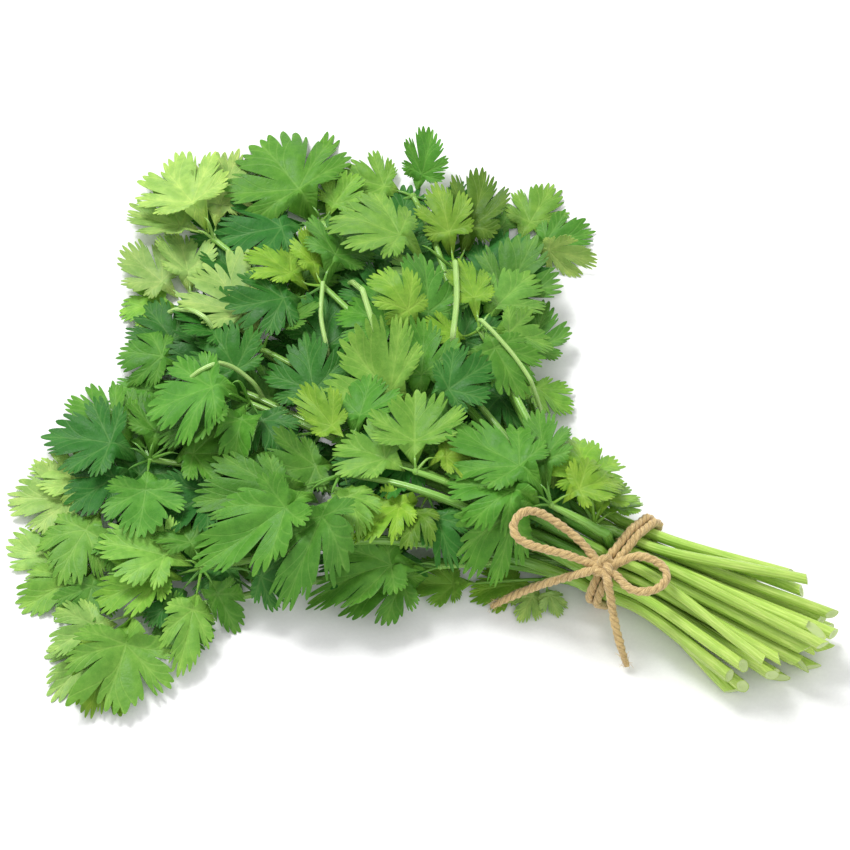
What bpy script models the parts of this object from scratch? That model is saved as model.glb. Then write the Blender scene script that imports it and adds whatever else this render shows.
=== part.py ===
"""Coriander bunch: leafy stalks tied with a twine bow, lying on a table. Metres, +Z up."""

import math

import bmesh
import bpy
import numpy as np
from mathutils import Vector

# ---- Meshes and colours ----

STEM_SIDES = 5
STEM_DETAIL = 0.15              # how far a stem's mesh may stray from its line, in millimetres
RIB_SIDES = 4                   # of the part of a stalk that belongs to its leaf
RIB_DETAIL = 0.5                # how far that part's mesh may stray
STALK_SIDES = 4                 # of a leaflet's small stalk
STRAND_STEP = 6.6               # between the points of the bow's strands
BEVEL = 0.9                     # of the band's edges

# Each finish: its colour, linear, and its roughness.
FINISHES = {
    "leaf": ((0.13, 0.33, 0.04), 0.5),
    "stem": ((0.36, 0.55, 0.12), 0.35),
    "twine": ((0.46, 0.30, 0.14), 0.9),
}

# ---- Driving dimensions, in millimetres, from the point on the table under the middle of the tie ----

MM = 0.001
GAP = 0.3                       # air between pieces that touch
STEM_BEARING = 155.0            # degrees: the way the stems run through the tie, cut ends to leaves
STEM_RADIUS_CUT = 2.15          # a stem's radius where it is cut
STEM_RADIUS_TIE = 2.0           # where the tie holds it
STEM_RADIUS_MIDDLE = 1.5        # half way from there to its leaf
STEM_RADIUS_LEAF = 0.95         # where its leaf begins
SLOT_PITCH = 4.5                # between the stems that lie side by side in the tie
ROW_PITCH = 3.9                 # between the layers of stems in the tie
ROWS = (5, 6, 7, 6, 3)          # stems in each layer of the tie, from the table up
STRAIGHT = 12.0                 # a stem at table height would stay straight this far to each side of the tie
STRAIGHT_LESS = 0.33            # and for each millimetre that it lies higher, this much less
TWINE = 3.0                     # the twine's diameter
BAND_WIDTH = 6.0                # two turns of twine side by side
BAND_SLANT = -10.7              # degrees: how far the band's plane is turned from square to the stems
CUT_REACH = 76.0                # from the tie to the longest cut end
CUT_SHORTER = (0.031, 0.13)     # how much sooner those to each side of it end, per square millimetre aside
CUT_ASIDE = 3.5                 # how far the whole fan lies to one side
CUT_FAN = 23.5                  # how far to each side the cut ends fan out, less a third of their height
HUB_RADIUS = 2.0                # the swelling where a leaf's leaflets meet
LEAFLET_STALK = 0.6             # radius of the small stalk that carries a leaflet
BLADE = 0.6                     # thickness of a leaflet's blade
LOBE = 0.64                     # where the side lobes' tips are, as a share of the blade's half spread
KNOT_SIDE = -9.5                # where the knot sits on the band, measured across the stems
KNOT_SIZE = (4.6, 4.2, 3.2)     # its half sizes; the last one is square to the band
KNOT_EDGE = 5.8                 # from the knot's middle to where each strand of the bow starts
STRAND_AIR = 0.2                # more air under the bow's strands

# How a blade lies: its slope along and how far it bends, its slope across and how far it curls, in degrees.
POSES = {
    "lying": (5, -14, 0, 10),
    "flat": (0, 0, 0, 0),
    "cupped": (4, 8, 0, 34),
    "domed": (8, -22, 0, -24),
    "arched": (24, -66, 0, -20),
    "hanging": (2, -38, 0, -12),
    "raised": (16, -10, 0, 14),
    "upright": (50, -14, 10, 20),
    "edge": (2, -8, 62, 10),
    "rolled": (6, -22, 0, 110),
    "folded": (4, -14, -26, 56),
}

# Each stalk's leaf, in the order that they are laid down, lowest first: where its end lies, where its lower
# leaflets branch off as a share of the way there, the tones of those lower leaflets, and then the leaflets at
# its end: heading, little stalk, length, half spread, tone, pose, and the little stalk's own bearing if it
# isn't the blade's heading. The tones are pale, light, yellowish, medium, dark and olive.
LEAVES = (
    ((-26, -1), 1, "", (
        (186, 3, 20, 36, "Y", "flat"), (236, 2, 13, 36, "P", "flat"), (284, 2, 11, 36, "P", "flat"),
        (182, 22, 22, 34, "L", "flat"))),
    ((-172, 6), 0.72, "MD", (
        (173, 2, 26, 36, "P", "flat"), (218, 2, 26, 38, "L", "cupped"), (262, 3, 22, 36, "M", "flat"))),
    ((-169, 27), 0.66, "DD", (
        (172, 3, 29, 37, "P", "lying"), (139, 3, 26, 34, "P", "flat"), (236, 4, 30, 40, "L", "domed"),
        (296, 5, 28, 42, "M", "flat"), (48, 5, 30, 44, "D", "flat"))),
    ((-143, 104), 0.7, "DM", (
        (178, 4, 20, 40, "L", "lying"), (142, 5, 25, 34, "P", "cupped"), (98, 4, 26, 36, "P", "cupped"),
        (240, 5, 24, 38, "M", "flat"))),
    ((-35, 127), 0.62, "DM", (
        (115, 3, 18, 36, "M", "flat"), (62, 3, 25, 36, "L", "lying"), (8, 3, 23, 34, "M", "lying"),
        (-12, 5, 21, 26, "P", "edge", -30), (236, 4, 24, 38, "M", "flat"))),
    ((-160, -14), 0.74, "DM", (
        (226, 7, 30, 35, "P", "flat"), (204, 5, 24, 36, "P", "lying"), (243, 5, 34, 26, "Y", "flat"),
        (340, 3, 22, 40, "M", "flat"), (262, 2, 35, 44, "L", "lying"))),
    ((-60, -1), 0.6, "DD", (
        (172, 3, 38, 30, "D", "domed"), (206, 4, 30, 32, "M", "flat"), (191, 3, 42, 22, "M", "folded"))),
    ((-143, 79), 0.68, "DDM", (
        (120, 4, 24, 40, "D", "flat"), (222, 3, 28, 44, "M", "lying"), (168, 2, 22, 44, "M", "domed"))),
    ((-136, 129), 0.78, "DM", (
        (84, 3, 31, 28, "P", "lying"), (163, 3, 26, 38, "P", "cupped"), (124, 2, 34, 38, "P", "lying"))),
    ((-69, 147), 0.7, "DD", (
        (190, 6, 26, 38, "M", "flat"), (340, 5, 25, 38, "D", "flat"), (160, 3, 21, 42, "L", "flat"),
        (66, 2, 22, 30, "M", "upright"))),
    ((-34, 73), 0.6, "DM", (
        (240, 4, 26, 38, "D", "flat"), (100, 3, 28, 38, "M", "lying"), (-38, 2, 17, 44, "L", "lying"),
        (66, 4, 25, 36, "M", "lying"))),
    ((-138, 0), 0.8, "DM", (
        (228, 6, 20, 36, "D", "lying"), (260, 6, 30, 22, "L", "hanging"), (342, 14, 19, 38, "D", "flat"),
        (300, 4, 18, 42, "M", "rolled"), (197, 4, 32, 28, "L", "lying"), (168, 2, 30, 40, "L", "lying"),
        (118, 1, 19, 46, "M", "lying"))),
    ((-156, 43), 0.8, "DD", (
        (108, 3, 22, 44, "M", "lying"), (215, 5, 26, 40, "D", "flat"), (268, 5, 27, 42, "M", "flat"),
        (30, 5, 24, 40, "M", "flat"), (350, 6, 26, 40, "M", "flat"), (138, 4, 32, 31, "M", "lying"),
        (166, 3, 30, 42, "D", "lying"), (72, 1, 21, 46, "M", "lying"))),
    ((-100, 136), 0.8, "D", (
        (196, 4, 28, 40, "D", "lying"), (60, 3, 16, 42, "L", "lying"), (128, 1, 35, 57, "M", "domed"))),
    ((-119, 84), 0.8, "D", (
        (190, 6, 28, 42, "D", "flat"), (152, 5, 28, 36, "D", "lying"), (55, 2, 21, 36, "M", "lying"),
        (118, 2, 37, 40, "P", "lying"))),
    ((-99, 103), 0.82, "DM", (
        (200, 5, 26, 42, "D", "lying"), (145, 5, 25, 38, "Y", "lying"), (112, 3, 21, 23, "Y", "raised"),
        (70, 3, 28, 38, "M", "domed"))),
    ((-55, 114), 0.8, "M", (
        (212, 4, 21, 38, "P", "hanging"), (73, 8, 34, 24, "O", "raised"), (96, 7, 27, 28, "Y", "lying"),
        (160, 8, 37, 34, "L", "arched"))),
    ((-123, 62), 0.8, "DM", (
        (110, 4, 24, 40, "D", "lying"), (292, 4, 21, 42, "D", "lying"), (258, 3, 22, 42, "M", "rolled"),
        (215, 6, 28, 40, "M", "lying"), (186, 2, 32, 48, "M", "domed"))),
    ((-64, 77), 0.8, "D", (
        (90, 4, 28, 38, "M", "lying"), (20, 4, 24, 38, "D", "lying"), (152, 6, 28, 36, "M", "lying"),
        (125, 3, 25, 30, "Y", "raised"))),
    ((-47, 82), 0.8, "M", (
        (185, 3, 15, 38, "Y", "lying"), (62, 4, 27, 38, "L", "domed"), (98, 3, 28, 20, "Y", "lying"),
        (4, 3, 19, 40, "L", "cupped"), (300, 2, 25, 42, "M", "lying"))),
    ((-64, 21), 1, "", (
        (285, 4, 22, 34, "D", "hanging"), (250, 3, 21, 32, "O", "lying"), (145, 5, 28, 38, "D", "lying"),
        (218, 3, 28, 31, "Y", "lying"))),
    ((-68, 49), 0.78, "D", (
        (172, 4, 28, 42, "M", "lying"), (80, 5, 27, 38, "M", "lying"), (30, 4, 24, 40, "D", "lying"),
        (128, 3, 33, 44, "L", "cupped"))),
    ((-90, 38), 1, "", (
        (15, 5, 22, 36, "D", "lying"), (70, 4, 24, 42, "M", "lying"), (200, 3, 25, 42, "M", "lying"),
        (122, 2, 24, 23, "Y", "raised"))),
    ((-92, 28), 1, "", (
        (285, 2, 27, 27, "L", "hanging"), (190, 9, 38, 31, "M", "lying"), (252, 8, 37, 29, "M", "hanging"),
        (218, 9, 43, 25, "M", "lying"))),
    ((-10, 8), 1, "", (
        (142, 6, 30, 34, "D", "lying"), (90, 10, 24, 20, "Y", "raised"), (118, 10, 28, 24, "L", "lying"),
        (38, 5, 14, 40, "Y", "lying"), (62, 2, 18, 46, "Y", "lying"), (98, 3, 26, 40, "Y", "domed"))),
    ((-68, 24), 1, "", (
        (45, 4, 24, 36, "M", "lying"), (5, 5, 20, 38, "Y", "hanging", 50), (150, 3, 26, 40, "L", "lying"),
        (95, 2, 27, 54, "L", "cupped"))),
    ((-24, 11), 1, "", (
        (100, 4, 31, 25, "M", "lying"), (200, 3, 28, 36, "M", "hanging"), (172, 2, 33, 36, "M", "domed"),
        (20, 3, 19, 40, "Y", "lying"), (130, 2, 41, 31, "M", "lying"))),
)


# The outline of the leafy part on the table, which the lower leaflets stay inside.
OUTLINE = ((-199, 31), (-195, 5), (-185, -9), (-192, -30), (-188, -45), (-166, -51), (-149, -36), (-134, -17),
           (-106, -13), (-73, -15), (-20, -11), (-11, 5), (-4, 27), (-14, 50), (-22, 62), (-24, 92),
           (-18, 127), (-30, 144), (-44, 152), (-60, 160), (-90, 146), (-106, 160), (-126, 154), (-153, 148),
           (-163, 104), (-160, 81), (-183, 62))

# The bow's strands, in the order that they are laid down: points in the plan, or a bearing where a strand
# starts or ends at the knot's edge.
BOW = (
    ("twine_tail_left", (197, (-20.5, -10.6), (-28.7, -9.9), (-37.0, -10.2), (-43.2, -11.2))),
    ("twine_loop_left", (128, (-15.0, -1.2), (-21.8, 2.8), (-28.4, 5.2), (-33.7, 4.0), (-36.4, 0.4),
                         (-35.2, -3.4), (-31.0, -5.2), (-26.0, -5.8), (-19.5, -6.4), 160)),
    ("twine_tail_right", (-76, (-4.9, -18.6), (-3.6, -23.2), (-1.7, -28.0), (0.8, -32.6))),
    ("twine_loop_right", (20, (3.8, -6.4), (8.8, -7.6), (12.4, -10.6), (13.2, -14.4), (10.4, -17.8),
                          (5.6, -19.0), (1.0, -17.6), -38)),
)


def unit(degrees):
    """The level unit vector on a bearing, counted from +X towards +Y."""
    return np.array([math.cos(math.radians(degrees)), math.sin(math.radians(degrees))])


TO_LEAVES = unit(STEM_BEARING)
ACROSS = unit(STEM_BEARING - 90)


class Pile:
    """How high everything laid down so far reaches, in cells of 1 mm."""

    LOW = np.array([-225.0, -95.0])
    SIZE = (320, 270)
    SOFT = 7                    # cells: how far the pile's shape is blurred for blades that drape over it

    def __init__(self):
        self.top = np.full(self.SIZE, -GAP)

    def cells(self, plan):
        cell = np.floor(plan - self.LOW).astype(int)
        return tuple(np.clip(cell, 0, np.array(self.SIZE) - 1).T)

    def add(self, points):
        np.maximum.at(self.top, self.cells(points[:, :2]), points[:, 2])

    def inside(self, outline):
        """Which cells lie inside a closed outline, by how often a line from each cell crosses it."""
        x, y = np.indices(self.SIZE) + self.LOW[:, None, None] + 0.5
        crossed = np.zeros(self.SIZE, bool)
        for (ax, ay), (bx, by) in zip(outline, outline[1:] + outline[:1]):
            spans = (ay > y) != (by > y)
            crossed ^= spans & (x < ax + (bx - ax) * (y - ay) / ((by - ay) or 1))
        return crossed

    def widened(self):
        """Each cell as high as the highest of its neighbours."""
        padded = np.pad(self.top, 1, mode="edge")
        wide, deep = self.SIZE
        return np.max([padded[i:i + wide, j:j + deep] for i in range(3) for j in range(3)], axis=0)

    def blurred(self):
        steps = np.arange(-3 * self.SOFT, 3 * self.SOFT + 1)
        weights = np.exp(-0.5 * (steps / self.SOFT) ** 2)
        weights /= weights.sum()
        soft = np.maximum(self.top, 0)
        for axis in (0, 1):
            soft = np.apply_along_axis(np.convolve, axis, soft, weights, "same")
        return soft

    @classmethod
    def between_cells(cls, field, plan):
        """The field at points in the plan, blended from the four nearest cells."""
        at = plan - cls.LOW - 0.5
        cell = np.clip(np.floor(at).astype(int), 0, np.array(cls.SIZE) - 2)
        part = at - cell
        i, j = cell.T
        p, q = part.T
        return ((1 - p) * (1 - q) * field[i, j] + p * (1 - q) * field[i + 1, j]
                + (1 - p) * q * field[i, j + 1] + p * q * field[i + 1, j + 1])


def over(line, height):
    """The lowest taut line over the heights at those distances."""
    kept = []
    for point in zip(line, height):
        while len(kept) > 1:
            (a, p), (b, q) = kept[-2:]
            if (q - p) * (point[0] - a) > (point[1] - p) * (b - a):
                break
            kept.pop()
        kept.append(point)
    return np.interp(line, *np.array(kept).T)


def eased(height, width):
    """A running mean that keeps the ends."""
    padded = np.concatenate([np.repeat(height[0], width), height, np.repeat(height[-1], width)])
    return np.convolve(padded, np.ones(2 * width + 1) / (2 * width + 1), "valid")


def along(points):
    """The distance along a line of points."""
    return np.concatenate([[0], np.cumsum(np.linalg.norm(np.diff(points, axis=0), axis=1))])


def evenly(points, step):
    """The line again with points about a step apart."""
    distance = along(points)
    count = max(2, math.ceil(distance[-1] / step) + 1)
    at = np.linspace(0, distance[-1], count)
    return np.stack([np.interp(at, distance, column) for column in points.T], axis=1)


def upright(line):
    """How much taller than its thickness a tube stands at each point of its line, from its slope."""
    way = np.gradient(line, axis=0)
    level = np.maximum(np.linalg.norm(way[:, :2], axis=1), 1e-6)
    return np.minimum(np.linalg.norm(way, axis=1) / level, 1.5)


def bezier(a, b, c, d, count=60):
    t = np.linspace(0, 1, count)[:, None]
    return (1 - t) ** 3 * a + 3 * t * (1 - t) ** 2 * b + 3 * t ** 2 * (1 - t) * c + t ** 3 * d


def simpler(points, within):
    """The line with only the points that it needs to stay within that distance of itself."""
    keep = np.zeros(len(points), bool)
    keep[[0, -1]] = True
    todo = [(0, len(points) - 1)]
    while todo:
        a, b = todo.pop()
        if b - a < 2:
            continue
        chord = points[b] - points[a]
        rest = points[a + 1:b] - points[a]
        share = np.clip(rest @ chord / (chord @ chord), 0, 1)
        away = np.linalg.norm(rest - share[:, None] * chord, axis=1)
        worst = int(away.argmax())
        if away[worst] > within:
            keep[a + 1 + worst] = True
            todo += [(a, a + 1 + worst), (a + 1 + worst, b)]
    return points[keep]


def bent(distance, start, turn, size):
    """Level distance and rise along a strip that sets off at a slope and turns evenly as it goes."""
    start, turn = math.radians(start), math.radians(turn)
    if abs(turn) < 0.01:
        return distance * math.cos(start), distance * math.sin(start)
    slope = start + turn * distance / size
    radius = size / turn
    return radius * (np.sin(slope) - math.sin(start)), radius * (math.cos(start) - np.cos(slope))


def slots():
    """Where the stems lie in the tie: across it, and their height, row by row from the table up."""
    lowest = TWINE + GAP + STEM_RADIUS_TIE
    return [[((column - (count - 1) / 2) * SLOT_PITCH, lowest + row * ROW_PITCH) for column in range(count)]
            for row, count in enumerate(ROWS)]


def turn_of_leaf(number):
    """A leaf's bearing from the tie, in radians, counted backwards so that it rises across the stems."""
    x, y = LEAVES[number][0]
    return -math.atan2(y, x) % math.tau


def places_in_tie():
    """Each leaf's slot. A row's stems lie in the order of their leaves' bearings, so none cross in it."""
    places, first = [None] * len(LEAVES), 0
    for row in slots():
        members = sorted(range(first, first + len(row)), key=turn_of_leaf)
        for member, slot in zip(members, row):
            places[member] = slot
        first += len(row)
    return places


class Layout:
    """Lays the stalks down one after another, each as low as those beneath it allow."""

    CLOSE = 0.5                 # extra height that lets the stems be smoothed
    STEP = 1.5                  # between the points of a finely divided stem
    SPARE = 0.15                # more air between stems, for what their meshes simplify
    OWN_END = 8.0               # how much of the stalk's end the leaf keeps when it has no lower leaflets
    DRAPE = 0.85                # how closely a blade follows the pile beneath it

    # The poses that may tilt to lie lower, and the tilts tried, along the blade and across it, in degrees.
    LOOSE = ("lying", "flat", "cupped", "domed", "hanging", "rolled", "folded")
    TILTS = [(pitch, roll) for pitch in (-24, -12, 0, 12, 24) for roll in (-20, -10, 0, 10, 20)]

    def __init__(self):
        self.everything = Pile()
        self.foliage = Pile()
        self.inside = self.everything.inside(OUTLINE)
        self.stems = []
        self.leaves = []
        self.add_band()
        for number, place in enumerate(places_in_tie()):
            chance = np.random.default_rng(100 + number)
            self.lay_stalk(place, LEAVES[number], chance)

    # -- the tie --

    def add_band(self):
        ring = band_line()
        for offset in np.linspace(-BAND_WIDTH / 2 - 1, BAND_WIDTH / 2 + 1, 9):
            edge = ring + np.append(unit(STEM_BEARING + BAND_SLANT) * offset, 0)
            self.everything.add(evenly(edge + [0, 0, TWINE / 2], 0.7))

    # -- stems --

    def needed(self, plan, radius, steep=None):
        """The lowest height for a round stem's middle at each point of its plan."""
        field = self.foliage.widened()
        steep = np.ones(len(plan)) if steep is None else steep
        around = [np.zeros(2)] + [unit(45 * k) for k in range(8)]
        height = np.max([field[self.foliage.cells(plan + radius[:, None] * side)] for side in around], axis=0)
        return np.maximum(height + radius * steep + GAP, self.above_stems(plan, radius, steep))

    def above_stems(self, plan, radius, steep):
        """The lowest height that clears every stem laid so far, or less than nothing where none is near."""
        height = np.full(len(plan), -1.0)
        for other in self.stems:
            line, thick = other["line"], other["radius"]
            away = np.linalg.norm(plan[:, None] - line[None, :, :2], axis=2)
            touch = radius[:, None] + thick[None] + GAP + self.SPARE
            rise = np.sqrt(np.maximum(touch ** 2 - away ** 2, 0))
            rise = rise * np.maximum(steep[:, None], upright(line)[None])
            height = np.maximum(height, np.where(away < touch, line[None, :, 2] + rise, -1).max(axis=1))
        return height

    def lay_stalk(self, place, entry, chance):
        """One stalk: its way from the cut end to its tip, split into the stem and the leaf's own rib."""
        end, node, lower, leaflets = entry
        line, radius = self.stalk_line(place, np.array(end, float), chance)
        self.rasterise_tube(line, radius, self.everything)
        distance = along(line)
        from_tie = distance[-1] - distance[np.linalg.norm(line[:, :2], axis=1).argmin()]
        at = int(np.searchsorted(distance, distance[-1] - max((1 - node) * from_tie, self.OWN_END)))
        stem = distance < distance[at] - GAP - (HUB_RADIUS if node < 1 else 0)
        self.stems.append({"line": line[stem], "radius": radius[stem]})
        rib = {"line": line[at:], "radius": radius[at:]}
        self.rasterise_tube(rib["line"], rib["radius"], self.foliage)
        way = line[min(at + 4, len(line) - 1)] - line[at - 4]
        turned = math.degrees(math.atan2(way[1], way[0]))
        blades = []
        for tone in lower:
            leaflet = self.leaflet_into_gap(line[at], turned, tone, chance)
            blades += self.lay_leaflets(line[at], [leaflet], chance)
        blades += self.lay_leaflets(line[-1], leaflets, chance)
        hubs = [(line[-1], HUB_RADIUS)]
        if node < 1:
            hubs.append((line[at], radius[at] + 0.15))
        for hub, size in hubs:
            self.rasterise_hub(hub, size)
        self.leaves.append({"hubs": hubs, "rib": rib, "blades": blades})

    def leaflet_into_gap(self, hub, bearing, tone, chance):
        """A lower leaflet that heads for the barest spot in reach of its stalk, inside the outline."""
        length, spread, stalk = chance.uniform(25, 31), chance.uniform(38, 45), chance.uniform(3, 8)
        share = np.linspace(0.3, 1, 4)
        bare = np.minimum(self.everything.top, 15) + 60 * ~self.inside
        tries = []
        for turn in (-82, -66, -50, 50, 66, 82):
            fan = [hub[:2] + unit(bearing + turn + side) * (stalk + length * reach)
                   for reach in share for side in (-24, 0, 24)]
            tries.append((bare[self.everything.cells(np.array(fan))].mean(), turn))
        return bearing + min(tries)[1], stalk, length, spread, tone, "flat"

    def stalk_line(self, place, hub, chance):
        side, height = place
        in_tie = ACROSS * side
        straight = STRAIGHT - height * STRAIGHT_LESS
        out, back = in_tie + TO_LEAVES * straight, in_tie - TO_LEAVES * straight
        widest = max(abs(other) for other, level in sum(slots(), []) if level == height)
        fan = side * (CUT_FAN - height / 3) / widest - CUT_ASIDE + chance.uniform(-1.6, 1.6)
        shorter = CUT_SHORTER[fan > 3] * (fan - 3) ** 2
        reach = CUT_REACH - shorter + chance.uniform(-6, 0)
        cut_end = ACROSS * fan - TO_LEAVES * reach
        route = bezier(back, back - TO_LEAVES * 0.2 * reach, 0.4 * back + 0.6 * cut_end, cut_end)
        cut = evenly(route, self.STEP)[1:]
        radius = np.linspace(STEM_RADIUS_TIE, STEM_RADIUS_CUT, len(cut))
        distance = along(cut) + self.STEP
        slope = ((self.needed(cut, radius) - height) / distance)[2:].max()
        slope = max(slope, (STEM_RADIUS_CUT - height) / distance[-1])
        cut_line = np.column_stack([cut, height + slope * distance])

        far = np.linalg.norm(hub - out)
        radial = hub / np.linalg.norm(hub)
        route = bezier(out, out + TO_LEAVES * 0.36 * far, hub - radial * 0.34 * far, hub)
        plan = evenly(route, self.STEP)[1:]
        radii = [STEM_RADIUS_TIE, STEM_RADIUS_MIDDLE, STEM_RADIUS_LEAF]
        radius_out = np.interp(along(plan) / max(far, 1), [0, 0.5, 1], radii)
        wide = [unit(45 * k) * HUB_RADIUS for k in range(8)] + [np.zeros(2)]
        round_hub = [hub + unit(22.5 * k) * (8 if k % 2 else 14) for k in range(16)]
        beside = self.everything.blurred()[self.everything.cells(np.array(round_hub))]
        below = self.everything.widened()[self.everything.cells(hub + np.array(wide))].max() + GAP
        distance = np.append(0, along(plan) + self.STEP)
        steep = None
        for _ in range(2):
            need = self.needed(plan, radius_out, steep)
            end = max(below, need[-1] - radius_out[-1], np.percentile(beside, 50)) + HUB_RADIUS
            goal = np.concatenate([[height], need + self.CLOSE])
            goal[-1] = end
            taut = over(distance, goal)
            smooth = eased(taut, 5)
            smooth[0], smooth[-1] = taut[0], taut[-1]
            rise = np.maximum(smooth, np.concatenate([[height], need + 0.1]))
            rise[-1] = end
            steep = upright(np.column_stack([plan, rise[1:]]))
        leaf_line = np.column_stack([plan, rise[1:]])
        tie_line = np.array([[*back, height], [*in_tie, height], [*out, height]])
        whole = np.concatenate([cut_line[::-1], tie_line, leaf_line])
        return whole, np.concatenate([radius[::-1], [STEM_RADIUS_TIE] * 3, radius_out])

    def rasterise_tube(self, line, radius, *piles):
        dense = evenly(np.column_stack([line, radius]), 0.6)
        across = np.diff(dense[:, :2], axis=0)
        across = np.column_stack([-across[:, 1], across[:, 0]])
        across /= np.maximum(np.linalg.norm(across, axis=1), 1e-6)[:, None]
        across = np.concatenate([across, across[-1:]])
        for share in np.linspace(-1, 1, 9):
            width = dense[:, 3] * share
            top = dense[:, 2] + np.sqrt(np.maximum(dense[:, 3] ** 2 - width ** 2, 0)) + 0.15
            for pile in piles:
                pile.add(np.column_stack([dense[:, :2] + across * width[:, None], top]))

    # -- leaves --

    def lay_leaflets(self, hub, leaflets, chance):
        laid = []
        for entry in leaflets:
            heading, stalk, length, spread, tone, pose = entry[:6]
            sets_off = entry[6] if len(entry) > 6 else heading
            blade = {
                "heading": heading + chance.uniform(-3, 3), "length": length * chance.uniform(0.97, 1.05),
                "spread": spread, "tone": tone, "pose": pose, "seed": int(chance.integers(1 << 30)),
                "base": hub[:2] + unit(sets_off) * (stalk + HUB_RADIUS * 0.5),
            }
            slopes = np.array(POSES[pose], float)
            if pose != "flat":
                slopes += chance.uniform((-3, -6, -4, -9), (3, 6, 4, 9))
            blade["ground"] = self.everything.blurred() * self.DRAPE
            blade["slopes"], blade["lift"], samples = self.settled(blade, slopes, pose)
            for pile in (self.everything, self.foliage):
                pile.add(samples)
            base = surface(blade, np.array([0.0]), np.array([0.0]))[0]
            inside = surface(blade, np.array([3.0]), np.array([0.0]))[0]
            blade["stalk"] = self.little_stalk(hub, base, inside, sets_off)
            self.rasterise_tube(blade["stalk"], np.full(len(blade["stalk"]), LEAFLET_STALK),
                                self.everything, self.foliage)
            laid.append(blade)
        return laid

    def settled(self, blade, slopes, pose):
        """The slopes and the height at which a blade comes to rest on the pile, and points all over it."""
        field = self.everything.widened()
        best = None
        for pitch, roll in self.TILTS if pose in self.LOOSE else [(0, 0)]:
            blade["lift"], blade["slopes"] = 0.0, slopes + (pitch, 0, roll, 0)
            samples = on_triangles(*coarse_blade(blade), 0.8)
            thick = BLADE / 2 * samples[:, 3]
            under = field[self.everything.cells(samples[:, :2])]
            lift = float((under + GAP + thick - samples[:, 2]).max())
            height = 0.6 * samples[:, 2].mean() + 0.4 * samples[:, 2].max() + lift
            if best is None or height < best[0]:
                top = samples[:, :3] + np.outer(thick + lift, (0, 0, 1))
                best = height, blade["slopes"], lift, top
        return best[1:]

    def rasterise_hub(self, hub, size):
        ball = np.array([[*(hub[:2] + unit(45 * k) * size * r), hub[2] + size * math.sqrt(1 - r * r)]
                         for k in range(8) for r in (0, 0.5, 1)])
        for pile in (self.everything, self.foliage):
            pile.add(ball)

    def little_stalk(self, hub, base, inside, sets_off):
        """From the hub to the blade's foot, over whatever lies between."""
        level = np.linalg.norm(base[:2] - hub[:2])
        if level < 8:
            return np.array([hub, base, inside])
        middle = hub[:2] + unit(sets_off) * level * 0.5
        plan = evenly(bezier(hub[:2], middle, middle, base[:2], 12), 1.5)
        field = self.foliage.widened()
        need = field[self.foliage.cells(plan)] + LEAFLET_STALK + GAP + 0.2
        thick = np.full(len(plan), LEAFLET_STALK)
        need = np.maximum(need, self.above_stems(plan, thick, np.ones(len(plan))))
        need[0], need[-1] = hub[2], base[2]
        clear = along(plan)
        need[(clear < 3) & (np.arange(len(plan)) > 0)] = -1
        need[(clear > clear[-1] - 2) & (np.arange(len(plan)) < len(plan) - 1)] = -1
        path = np.column_stack([plan, over(clear, need)])
        return np.concatenate([simpler(path, 0.15), [inside]])


def envelope(t):
    """How far a blade reaches at each share of its half spread: three lobes, shorter to the sides."""
    lobes = np.abs(np.cos(np.pi * t / LOBE))
    return (1 - 0.36 * np.abs(t) ** 2.2) * (1 - 0.17 * (1 - lobes))


def surface(blade, forward, sideways):
    """Points of a blade's middle surface, from distances along and across the flat blade."""
    pitch, bend, roll, curl = blade["slopes"]
    length = blade["length"]
    width = length * math.sin(math.radians(blade["spread"])) * 0.85
    out, rise = bent(forward, pitch, bend, length)
    side, lift = bent(sideways, roll, curl, width)
    ahead = unit(blade["heading"])
    left = unit(blade["heading"] + 90)
    plan = blade["base"] + out[:, None] * ahead + side[:, None] * left
    ground = Pile.between_cells(blade["ground"], np.vstack([plan, blade["base"]]))
    return np.column_stack([plan, blade["lift"] + rise + lift + ground[:-1] - ground[-1]])


def coarse_blade(blade):
    """The blade as a coarse fan of three lobes: points, and triangles facing up."""
    inner, outer = np.array([-1, 0, 1]), np.array([-1, -LOBE, -LOBE / 2, 0, LOBE / 2, LOBE, 1])
    share = np.concatenate([inner, outer])
    reach = envelope(share) * blade["length"] * np.repeat([0.55, 1.0], [len(inner), len(outer)])
    angle = np.radians(blade["spread"]) * share
    forward = np.append(0, reach * np.cos(angle))
    sideways = np.append(0, reach * np.sin(angle))
    base, right, middle, left = range(4)
    rim = range(4, 11)
    faces = [(base, right, middle), (base, middle, left), (right, rim[2], middle), (middle, rim[4], left)]
    for corner, edges in ((right, (0, 1)), (middle, (2, 3)), (left, (4, 5))):
        faces += [(corner, rim[edge], rim[edge + 1]) for edge in edges]
    return surface(blade, forward, sideways), np.array(faces)


def on_triangles(points, faces, step):
    """Points spread over the triangles, each with how much its triangle's tilt stretches the thickness."""
    found = []
    for face in points[faces]:
        a, b, c = face
        across = np.cross(b - a, c - a)
        tilt = min(np.linalg.norm(across) / max(abs(across[2]), 1e-6), 4.0)
        count = max(2, math.ceil(max(np.linalg.norm(b - a), np.linalg.norm(c - a)) / step))
        i, j = np.meshgrid(np.arange(count + 1), np.arange(count + 1))
        keep = i + j <= count
        p, q = i[keep] / count, j[keep] / count
        spot = a + p[:, None] * (b - a) + q[:, None] * (c - a)
        found.append(np.column_stack([spot, np.full(len(spot), tilt)]))
    return np.concatenate(found)


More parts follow.
